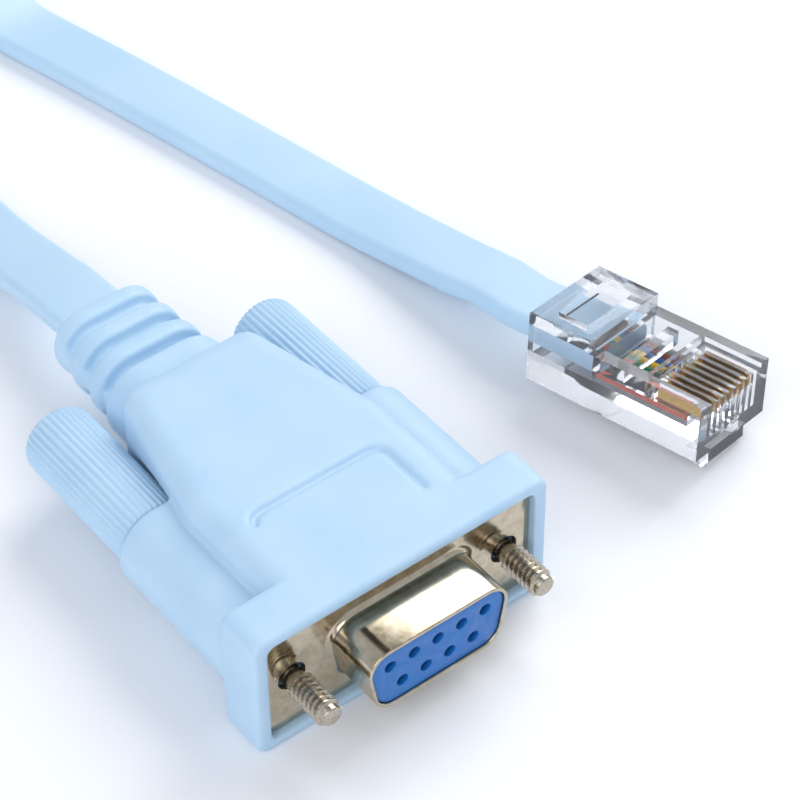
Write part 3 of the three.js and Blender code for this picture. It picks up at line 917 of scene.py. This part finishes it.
    def dress(
        self, material: Material, carried: Sequence[Object]
    ) -> Object:
        """Args:
            material: The jacket's material.
            carried: The pieces of the plug at its end. Not used.

        Returns:
            The cable.
        """
        rings = self.samples()
        loop = self.section()
        around = [0.0]
        for before, after in zip(loop, loop[1:] + loop[:1]):
            around.append(around[-1] + (after - before).length)
        bm = bmesh.new()
        uv = bm.loops.layers.uv.new("jacket")
        rows: list[list[BMVert]] = []
        along = [0.0]
        for i, (place, tilt) in enumerate(rings):
            ahead = (rings[min(i + 1, len(rings) - 1)][0] - rings[max(i - 1, 0)][0]).normalized()
            across = Vector((0, 0, 1)).cross(ahead).normalized()
            across = Matrix.Rotation(tilt, 3, ahead) @ across
            through = ahead.cross(across)
            rows.append([bm.verts.new(place + across * p.x + through * p.y) for p in loop])
            if i:
                along.append(along[-1] + (place - rings[i - 1][0]).length)
        count = len(loop)
        for i in range(len(rows) - 1):
            for k in range(count):
                n = (k + 1) % count
                face = bm.faces.new((rows[i][k], rows[i][n], rows[i + 1][n], rows[i + 1][k]))
                spots = ((i, k), (i, k + 1), (i + 1, k + 1), (i + 1, k))
                for corner, (row, column) in zip(face.loops, spots):
                    corner[uv].uv = (along[row] * MM, around[column] * MM)
        bm.faces.new(rows[0])
        bm.faces.new(reversed(rows[-1]))
        cable = object_from(bm, "flat_cable", Matrix.Identity(4), material)
        smooth_edges(cable, 50)
        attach(cable, ROOT_BODY)
        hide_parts("cable_from_hood", "cable_coil", "cable_to_plug", "cable_end_in_plug")
        log.info("flat cable: %.1f mm long, %d rings", along[-1], len(rings))
        return cable


@dataclass
class MouldedHood:
    """The soft hood over the D connector, with collar, ears and strain relief in one piece."""

    collar: tuple[float, float] = (34.3, 15.2)
    collar_y: tuple[float, float] = (-0.8, 4.6)
    collar_corner: float = 1.3
    body_half_w: float = 11.5
    shoulder_y: float = 17.5
    back_half_w: float = 7.8
    back_y: float = 34.4
    edge_round: float = 2.3
    ear_x: float = 12.495
    ear_r: float = 4.6
    ear_back_y: float = 21.5
    bore_r: float = 1.75
    knob_room_r: float = 4.2
    knob_room_y: float = 42.0
    relief_front: tuple[float, float] = (7.0, 4.6)
    relief_back: tuple[float, float] = (6.0, 3.8)
    relief_end_y: float = 49.5
    rib_pitch: float = 3.6
    groove: float = 1.5
    groove_depth: float = 1.3
    web_half_h: float = 1.1
    rib_edge: float = 0.4
    rib_fullness: float = 0.93
    flange_recess: tuple[float, float, float] = (15.555, 6.4, 0.8)
    pocket: tuple[float, float, float] = (8.0, 3.9, 6.5)
    # The label frame's left, right and back edge, and its front and left line's ends.
    frame_reach: tuple[float, float, float] = (-8.3, 7.7, 13.0)
    frame_starts: tuple[float, float] = (5.2, 11.2)
    frame_corner: float = 1.8
    frame_line: float = 0.75
    frame_depth: float = 0.6
    voxel_mm: float = 0.255
    smoothing: int = 6

    def relief_size(self, y: float) -> tuple[float, float]:
        """Work out the relief's half-width and half-height.

        Args:
            y: The place along it.

        Returns:
            Half-width and half-height.
        """
        t = (y - self.back_y) / (self.relief_end_y - self.back_y)
        return tuple(f + (b - f) * t for f, b in zip(self.relief_front, self.relief_back))

    def body(self) -> BMesh:
        """Model the body's tapered block with its big soft edges.

        Returns:
            The bmesh.
        """
        w, b = self.body_half_w, self.back_half_w
        corners = [(w, 1.5), (w, self.shoulder_y), (b, self.back_y), (-b, self.back_y),
                   (-w, self.shoulder_y), (-w, 1.5)]
        bm = plate(corners, [0, 6.0, 2.2, 2.2, 6.0, 0], steps=6)
        push(bm, (0.0, self.collar[1], 0.0))
        half = self.collar[1] / 2
        bmesh.ops.transform(bm, matrix=LAID_DOWN, verts=bm.verts)
        bmesh.ops.translate(bm, vec=(0, 0, -half), verts=bm.verts)
        rims = [e for e in bm.edges if all(abs(abs(v.co.z) - half) < 1e-5 for v in e.verts)
                and e.verts[0].co.z * e.verts[1].co.z > 0]
        round_edges(bm, rims, self.edge_round, 7)
        return bm

    def ear(self, side: int) -> BMesh:
        """Model one half-round ear that carries a jackscrew.

        Args:
            side: -1 for the left, 1 for the right.

        Returns:
            The bmesh.
        """
        x, r = self.ear_x, self.ear_r
        corners = [(side * 8.0, -r), (side * (x + r), -r), (side * (x + r), r), (side * 8.0, r)]
        bm = plate(corners, [0, r * 0.999, r * 0.999, 0], steps=14)
        push(bm, (0.0, self.ear_back_y - 2.0, 0.0))
        bmesh.ops.translate(bm, vec=(0, 2.0, 0), verts=bm.verts)
        back = [e for e in bm.edges if all(abs(v.co.y - self.ear_back_y) < 1e-5 for v in e.verts)]
        round_edges(bm, back, 0.35, 3)
        return bm

    def relief(self) -> list[BMesh]:
        """Model the strain relief's ribs, core and side webs.

        Returns:
            The solids.
        """
        start = self.back_y - 4.0
        parts = []
        end = self.relief_end_y
        for _ in range(3):
            rib = self.rib_pitch - self.groove
            w, h = self.relief_size(end - rib / 2)
            parts.append(rounded_bar(w, h, h * self.rib_fullness, (end - rib, end), self.rib_edge))
            end -= self.rib_pitch
        w, h = self.relief_size((start + end) / 2)
        parts.append(rounded_bar(w, h, h * self.rib_fullness, (start, end), self.rib_edge))
        w, h = self.relief_size(self.relief_end_y - 4)
        d = self.groove_depth
        core_y = (start, self.relief_end_y - 0.8)
        parts.append(rounded_bar(w - d, h - d, h * 0.9 - d, core_y))
        web, thick = self.relief_size(self.relief_end_y - 1)[0], self.web_half_h
        parts.append(block((-web, web), core_y, (-thick, thick), 0.3))
        return parts

    def label_groove(self) -> list[BMesh]:
        """Model the cutters of the line that frames the bare label area.

        Returns:
            The cutters.
        """
        top = self.collar[1] / 2
        left, right, back = self.frame_reach
        r = self.frame_corner
        cutters = []
        for inner in (0.0, self.frame_line):
            corners = [(left + inner, 0.0), (left + inner, back - inner),
                       (right - inner, back - inner), (right - inner, 0.0)]
            bm = plate(corners, [0, r - inner, r - inner, 0], steps=8)
            push(bm, (0.0, 2.0, 0.0))
            bmesh.ops.transform(bm, matrix=LAID_DOWN, verts=bm.verts)
            bmesh.ops.translate(bm, vec=(0, 0, top - self.frame_depth), verts=bm.verts)
            cutters.append(bm)
        return cutters

    def dress(self, material: Material) -> Object:
        """Join the forms, cut the hollows and melt the corners as the mould does.

        Args:
            material: The hood's material.

        Returns:
            The hood.
        """
        place = CONNECTOR_PLACE
        w, h = self.collar[0] / 2, self.collar[1] / 2
        hood = object_from(
            rounded_bar(w, h, self.collar_corner, self.collar_y, 0.45), "soft_hood", place, material
        )
        forms = [self.body(), self.ear(-1), self.ear(1), *self.relief()]
        combine(hood, [object_from(bm, "form", place) for bm in forms], "UNION")
        (flange_w, flange_h, flange_y), (pocket_w, pocket_h, pocket_y) = self.flange_recess, self.pocket
        cutters = [rounded_bar(flange_w, flange_h, 1.0, (-2.0, flange_y)),
                   rounded_bar(pocket_w, pocket_h, 2.4, (0.0, pocket_y))]
        for side in (-1, 1):
            cutters.append(rod(self.bore_r, (0.0, self.ear_back_y + 1), side * self.ear_x))
            behind = (self.ear_back_y, self.knob_room_y)
            cutters.append(rod(self.knob_room_r, behind, side * self.ear_x, sides=64))
        combine(hood, [object_from(bm, "cutter", place) for bm in cutters], "DIFFERENCE")
        outer, inner = [object_from(bm, "frame_line", place) for bm in self.label_groove()]
        combine(outer, [inner], "DIFFERENCE")
        front_y, left_y = self.frame_starts
        front = object_from(block((-12, 12), (-1, front_y), (0, 12)), "front_end", place)
        corner = object_from(block((-12, -7.6), (-1, left_y), (0, 12)), "left_end", place)
        combine(outer, [front, corner], "DIFFERENCE")
        combine(hood, [outer], "DIFFERENCE")
        remesh = hood.modifiers.new("melt", "REMESH")
        remesh.mode = "VOXEL"
        remesh.voxel_size = self.voxel_mm * MM
        remesh.adaptivity = 0.0
        settle(hood)
        relax = hood.modifiers.new("relax", "SMOOTH")
        relax.factor = 0.5
        relax.iterations = self.smoothing
        settle(hood)
        hood.data.materials.clear()
        hood.data.materials.append(material)
        hood.data.shade_smooth()
        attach(hood, ROOT_BODY)
        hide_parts("moulded_hood")
        log.info("hood: %d faces", len(hood.data.polygons))
        return hood


@dataclass
class DSocket:
    """Drawn shell with its flange, and the insulator with nine sockets."""

    shell: tuple[float, float] = (16.33, 7.9)
    corner: float = 2.5
    slope: float = math.radians(10)
    reach: float = 5.9
    wall: float = 0.45
    flange: tuple[float, float, float] = (30.81, 12.5, 0.8)
    flange_corner: float = 1.0
    screw_x: float = 12.495
    hole_r: float = 1.53
    face_y: float = -5.65
    insulator_back: float = 5.0
    pitch: float = 2.77
    row_z: float = 1.42
    entry_r: float = 0.66

    def outline(self, inset: float, y: tuple[float, float]) -> BMesh:
        """Model a D-shaped bar, wide side up.

        Args:
            inset: How far inside the shell's outside it lies.
            y: Its low and high Y.

        Returns:
            The bmesh.
        """
        h = self.shell[1] / 2
        w = self.shell[0] / 2
        rise = math.tan(self.slope)
        lean = h * 2 * rise
        # The slope's corners stand out past the rounds, so the widest point stays the shell's.
        out = self.corner * (1 - math.cos(self.slope)) / math.cos(self.slope)
        spread = self.corner * rise - out
        top = w + spread - inset * (1 + rise) / math.cos(self.slope) + inset * rise
        low = top - lean + 2 * inset * rise
        r = self.corner - inset
        h -= inset
        bm = plate([(top, h), (-top, h), (-low, -h), (low, -h)], [r, r, r, r], steps=9)
        push(bm, (0.0, y[1] - y[0], 0.0))
        bmesh.ops.translate(bm, vec=(0.0, y[0], 0.0), verts=bm.verts)
        return bm

    def dress_shell(self, material: Material) -> Object:
        """Draw the shell from the flange's plate, with its root fillet and rolled lip.

        Args:
            material: The plating.

        Returns:
            The shell.
        """
        w, h, t = self.flange
        sheet = rounded_bar(w / 2, h / 2, self.flange_corner, (0.0, t))
        shell = object_from(sheet, "drawn_shell", CONNECTOR_PLACE, material)
        tube = object_from(self.outline(0.0, (-self.reach, t / 2)), "tube", CONNECTOR_PLACE)
        combine(shell, [tube], "UNION")
        self.fillet_root(shell)
        cuts = [self.outline(self.wall, (-self.reach - 1, t + 1))]
        cuts += [rod(self.hole_r, (-1.0, t + 1), side * self.screw_x) for side in (-1, 1)]
        combine(shell, [object_from(bm, "cut", CONNECTOR_PLACE) for bm in cuts], "DIFFERENCE")
        soften(shell, 0.14, 3)
        smooth_edges(shell, 40)
        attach(shell, ROOT_BODY)
        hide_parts("metal_shell")
        return shell

    def fillet_root(self, shell: Object) -> None:
        """Round the inner corner where the drawn wall leaves the flange.

        Args:
            shell: The shell before it is hollowed.
        """
        bm = bmesh.new()
        bm.from_mesh(shell.data)
        front = FLANGE_Y * MM
        inside_w, inside_h = (self.shell[0] / 2 + 0.6) * MM, (self.shell[1] / 2 + 0.3) * MM
        root = [
            e for e in bm.edges
            if all(
                abs(v.co.y - front) < 1e-6 and abs(v.co.x) < inside_w
                and abs(v.co.z - AXIS_Z * MM) < inside_h
                for v in e.verts
            )
            and len(e.link_faces) == 2 and e.calc_face_angle(0.0) > 0.5
        ]
        round_edges(bm, root, 0.7 * MM, 5)
        bm.to_mesh(shell.data)
        bm.free()

    def dress_insulator(self, material: Material) -> Object:
        """Model the insulator and its nine lead-in holes.

        Args:
            material: The moulded plastic.

        Returns:
            The insulator.
        """
        body = object_from(
            self.outline(self.wall + 0.1, (self.face_y, self.insulator_back)),
            "socket_block", CONNECTOR_PLACE, material,
        )
        cuts = []
        for count, z in ((5, self.row_z), (4, -self.row_z)):
            for i in range(count):
                x = (i - (count - 1) / 2) * self.pitch
                cuts.append(rod(self.entry_r, (self.face_y - 1, self.face_y + 1.0), x, z, 32))
                cuts.append(rod(1.0, (self.face_y + 0.95, self.insulator_back + 1), x, z, 24))
        combine(body, [object_from(bm, "hole", CONNECTOR_PLACE) for bm in cuts], "DIFFERENCE")
        soften(body, 0.07, 2, 50)
        smooth_edges(body, 40)
        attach(body, ROOT_BODY)
        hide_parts("socket_insulator")
        return body


@dataclass
class Thumbscrew:
    """A jackscrew with its moulded, finely ribbed knob."""

    label: str
    side: int
    axis_x: float = 12.495
    knob_r: float = 3.85
    knob_y: tuple[float, float] = (22.0, 39.6)
    ribs: int = 36
    rib_depth: float = 0.2
    end_round: float = 1.5
    thread_r: float = 1.42
    root_r: float = 1.08
    shank_r: float = 1.06
    pitch: float = 0.635
    thread_y: tuple[float, float] = (-6.0, -1.3)
    tip_y: float = -6.15
    shank_back: float = 30.0

    def place(self) -> Matrix:
        """Give the screw's place from its own axis to the part's frame."""
        return CONNECTOR_PLACE @ Matrix.Translation((self.side * self.axis_x, 0.0, 0.0))

    def knob(self) -> BMesh:
        """Model the knob: a fluted bar whose far end is rounded over.

        Returns:
            The bmesh.
        """
        bm = bmesh.new()
        bmesh.ops.create_circle(bm, cap_ends=False, segments=self.ribs * 6, radius=self.knob_r)
        for v in bm.verts:
            angle = math.atan2(v.co.y, v.co.x)
            dip = self.rib_depth * (0.5 - 0.5 * math.cos(self.ribs * angle)) ** 1.5
            v.co *= 1 - dip / self.knob_r
        turn = Matrix.Rotation(math.pi / 2, 3, "X")
        bmesh.ops.rotate(bm, cent=(0, 0, 0), matrix=turn, verts=bm.verts)
        start, end = self.knob_y
        r, k = self.knob_r, self.end_round
        stations = [(start, 0.93), (start + 0.25, 1.0), (end - k * 2.2, 1.0)]
        for i in range(1, 9):
            a = i / 8 * math.pi / 2
            stations.append((end - k + k * math.sin(a), (r - k + k * math.cos(a)) / r))
        ring_edges = bm.edges[:]
        y, scale = stations[0]
        self.shift_ring(bm, bm.verts[:], y, scale)
        for y, size in stations[1:]:
            made = bmesh.ops.extrude_edge_only(bm, edges=ring_edges)["geom"]
            verts = [g for g in made if isinstance(g, BMVert)]
            ring_edges = [g for g in made if isinstance(g, BMEdge)]
            self.shift_ring(bm, verts, y, size / scale)
            scale = size
        bmesh.ops.holes_fill(bm, edges=bm.edges[:], sides=0)
        return bm

    @staticmethod
    def shift_ring(
        bm: BMesh, verts: list[BMVert], y: float, scale: float
    ) -> None:
        """Move a ring to a place along the axis and change its size.

        Args:
            bm: The bmesh.
            verts: The ring.
            y: Its place along the axis.
            scale: The change of its size.
        """
        bmesh.ops.scale(bm, vec=(scale, 1.0, scale), verts=verts)
        bmesh.ops.translate(bm, vec=(0.0, y - verts[0].co.y, 0.0), verts=verts)

    def thread(self) -> BMesh:
        """Model the screw's core, thinner shank and helical ridge.

        Returns:
            The bmesh.
        """
        bm = bmesh.new()
        low, high = self.thread_y
        steps = 20
        turns = (high - low) / self.pitch
        # The ridge's section: radius, and height as a share of the pitch. Its foot is in the core.
        foot = self.root_r - 0.15
        tooth = ((foot, 0.0), (self.thread_r, 0.42), (self.thread_r, 0.55), (foot, 0.97))
        ridge = [bm.verts.new((r, low + self.pitch * share, 0.0)) for r, share in tooth]
        profile = [bm.edges.new((a, b)) for a, b in zip(ridge, ridge[1:] + ridge[:1])]
        count = round(turns * steps)
        bmesh.ops.spin(
            bm, geom=[*ridge, *profile], cent=(0, 0, 0), axis=(0, 1, 0),
            dvec=(0, self.pitch / steps, 0), angle=2 * math.pi * count / steps, steps=count,
        )
        bmesh.ops.holes_fill(bm, edges=bm.edges[:], sides=0)
        front, behind = (self.tip_y, high + 1.4), (high + 1.0, self.shank_back)
        for radius, y in ((self.root_r, front), (self.shank_r, behind)):
            core = rod(radius, y, sides=28)
            round_edges(core, end_edges(core), 0.2, 2)
            mesh = bpy.data.meshes.new("core")
            core.to_mesh(mesh)
            core.free()
            bm.from_mesh(mesh)
            bpy.data.meshes.remove(mesh)
        return bm

    def dress(self, pvc: Material, steel: Material) -> None:
        """Build the knob and the screw, and let them turn together.

        Args:
            pvc: The knob's material.
            steel: The screw's material.
        """
        knob = object_from(self.knob(), self.label + "_ribbed_knob", self.place(), pvc)
        smooth_edges(knob, 60)
        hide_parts(self.label + "_thumbscrew_knob")
        screw = object_from(self.thread(), self.label + "_threaded_screw", self.place(), steel)
        smooth_edges(screw, 45)
        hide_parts(self.label + "_jackscrew")
        for piece in (knob, screw):
            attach(piece, self.label + "_thumbscrew")
        log.info("%s thumbscrew", self.label)


@dataclass
class ModularPlug:
    """Clear eight-way plug with its blades, its wires and its squeezed latch."""

    width: float = 11.68
    length: float = 21.46
    nose_h: float = 6.6
    block_h: float = 8.1
    block_l: float = 7.6
    comb_h: float = 6.05
    comb_back: float = -14.5
    rail: float = 1.25
    bore_half_w: float = 4.3
    slot_half_w: float = 0.28
    pitch: float = 1.02
    wire_z: float = 3.5
    wire_r: float = 0.47

    def lanes(self) -> list[float]:
        """Give the X of each of the eight lanes."""
        return [(i - 3.5) * self.pitch for i in range(8)]

    def latch(self) -> BMesh:
        """Model the latch, folded back under the plug from its nose.

        Returns:
            The bmesh.
        """
        nose = -self.length + 0.3
        side = [(nose + 2.2, 0.4), (nose + 0.1, 0.4), (nose, -1.73), (nose + 0.7, -2.63),
                (-2.5, -1.24), (-2.5, -0.29), (nose + 2.4, -1.48), (nose + 1.7, -0.88)]
        bm = plate(side, [0] * len(side))
        push(bm, (0.0, 6.1, 0.0))
        # Drawn with the plug's length along X, so it is turned to run along Y.
        turn = Matrix(((0, 1, 0), (1, 0, 0), (0, 0, 1))).to_4x4()
        bmesh.ops.transform(bm, matrix=turn, verts=bm.verts)
        bmesh.ops.translate(bm, vec=(-3.05, 0, 0), verts=bm.verts)
        return bm

    def cuts(self) -> list[BMesh]:
        """Model what is cut from the plug: comb, wire trough, jacket bore and windows.

        Returns:
            The cutters.
        """
        w, bore, above = self.width / 2 - self.rail, self.bore_half_w, self.block_h + 1.9
        nose = -self.length
        comb = block((-w, w), (nose - 1, self.comb_back), (self.comb_h, above))
        window = block((-bore, bore), (-14.0, -8.5), (2.9, above))
        trough = block((-bore, bore), (-19.4, -JACKET_IN_PLUG), (2.9, 4.09))
        jacket_bore = block((-bore, bore), (-7.6, 1), (2.8, 6.0))
        crimp_window = block((-3.7, 3.7), (-5.7, -2.1), (6.8, above))
        tools = [comb, window, trough, jacket_bore, crimp_window]
        for x in self.lanes():
            across = (x - self.slot_half_w, x + self.slot_half_w)
            tools.append(block(across, (nose - 1, -15.1), (4.0, above)))
            tools.append(block(across, (nose - 1, nose + 0.8), (1.9, above)))
        return tools

    def dress_body(self, material: Material) -> Object:
        """Build the clear body.

        Args:
            material: The clear plastic.

        Returns:
            The body.
        """
        half = self.width / 2
        body = object_from(
            block((-half, half), (-self.length, -0.001), (0, self.nose_h)),
            "clear_plug_body", PLUG_PLACE, material,
        )
        rear = block((-half, half), (-self.block_l, 0), (0, self.block_h))
        combine(body, [object_from(bm, "form", PLUG_PLACE) for bm in (rear, self.latch())], "UNION")
        combine(body, [object_from(bm, "cut", PLUG_PLACE) for bm in self.cuts()], "DIFFERENCE")
        bar = block((-half + self.rail, half - self.rail), (-11.5, -10.2), (4.4, 6.0))
        combine(body, [object_from(bar, "bar", PLUG_PLACE)], "UNION")
        soften(body, 0.11, 2)
        smooth_edges(body, 35)
        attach(body, ROOT_BODY)
        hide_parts("plug_body")
        log.info("plug body: %d faces", len(body.data.polygons))
        return body

    def dress_wires(self, colours: Sequence[tuple[str, str, str]]) -> list[Object]:
        """Build the eight conductors between the jacket and the blades.

        Args:
            colours: Slot word, body colour and shaded colour of each wire.

        Returns:
            The wires.
        """
        wires = []
        for i, (x, (word, body, deep)) in enumerate(zip(self.lanes(), colours), 1):
            finish = MouldedNylon("wire_insulation_" + word, body, deep, 0.35).build()
            bm = rod(self.wire_r, (-18.9, -7.9), x, self.wire_z, 20)
            wire = object_from(bm, "wire_" + word, PLUG_PLACE, finish)
            smooth_edges(wire, 40)
            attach(wire, ROOT_BODY)
            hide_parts(f"conductor_{i}")
            wires.append(wire)
        return wires


@dataclass
class CableTie:
    """A plain strap round the coil."""

    centre: tuple[float, float] = COIL_CENTRE
    angle: float = 140.0
    near: float = 31.51
    far: float = 51.85
    top: float = 9.2
    width: float = 6.0
    strap: float = 0.5

    def dress(self, material: Material) -> Object:
        """Build the strap.

        Args:
            material: The strap's material.

        Returns:
            The strap.
        """
        half = self.width / 2
        turn = Matrix.Rotation(math.radians(self.angle), 4, "Z")
        place = Matrix.Translation((*self.centre, 0.0)) @ turn
        outside = block((self.near, self.far), (-half, half), (0.0, self.top))
        strap = object_from(outside, "coil_strap", place, material)
        t = self.strap
        opening = block((self.near + t, self.far - t), (-half - 1, half + 1), (t, self.top - t))
        combine(strap, [object_from(opening, "opening", place)], "DIFFERENCE")
        soften(strap, 0.18, 2)
        smooth_edges(strap, 40)
        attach(strap, ROOT_BODY)
        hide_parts("cable_tie")
        return strap


def dress_node(name: str, material: Material) -> Object:
    """Give a CAD node that stays its finished material.

    Args:
        name: The node.
        material: The material.

    Returns:
        The node's object.
    """
    node = bpy.data.objects[name]
    node.data.materials.clear()
    node.data.materials.append(material)
    return node


WIRES = (
    ("orange", "#E2571F", "#C94A18"), ("black", "#2A2326", "#1E191B"), ("red", "#C7282C", "#A81F23"),
    ("green", "#1F7A4F", "#186440"), ("yellow", "#D9B32C", "#C29D22"), ("blue", "#2B5FB0", "#224E94"),
    ("brown", "#8C4436", "#743629"), ("grey", "#9AA0A6", "#858B91"),
)


def main() -> None:
    """Build the studio, the cable, both connectors, the thumbscrews and the coil strap."""
    Studio().build()
    gold = PlatedMetal("gold_flash_on_bronze", "#E0B45A", "#C2913F", 0.22, 0.3)
    steel = PlatedMetal("nickelled_turned_steel", "#C4BCAE", "#A69C8C", 0.26, 0.3)
    nickel = PlatedMetal("nickelled_drawn_steel", "#CBC0AC", "#B5A890", 0.14, 1.2)
    pvc = MouldedPvc().build()
    gold_finish, steel_finish = gold.build(), steel.build()

    plug = ModularPlug()
    carried = [plug.dress_body(ClearPolycarbonate().build())]
    carried += plug.dress_wires(WIRES)
    carried += [dress_node(f"contact_blade_{i}", gold_finish) for i in range(1, 9)]
    log.info("modular plug: %d pieces", len(carried))

    FlatCable().dress(ExtrudedJacket().build(), carried)
    MouldedHood().dress(pvc)
    socket = DSocket()
    socket.dress_shell(nickel.build())
    socket.dress_insulator(MouldedNylon("blue_filled_nylon", "#1672C4", "#1367B4", 0.38).build())
    for i in range(1, 10):
        dress_node(f"socket_contact_{i}", gold_finish)
    log.info("D socket")
    for label, side in (("left", -1), ("right", 1)):
        Thumbscrew(label, side).dress(pvc, steel_finish)
    CableTie().dress(MouldedNylon("white_nylon_strap", "#E9ECEE", "#DDE1E4", 0.5).build())
    log.info("coil strap")


if __name__ == "__main__":
    logging.basicConfig(level=logging.INFO, format="%(name)s: %(message)s")
    main()
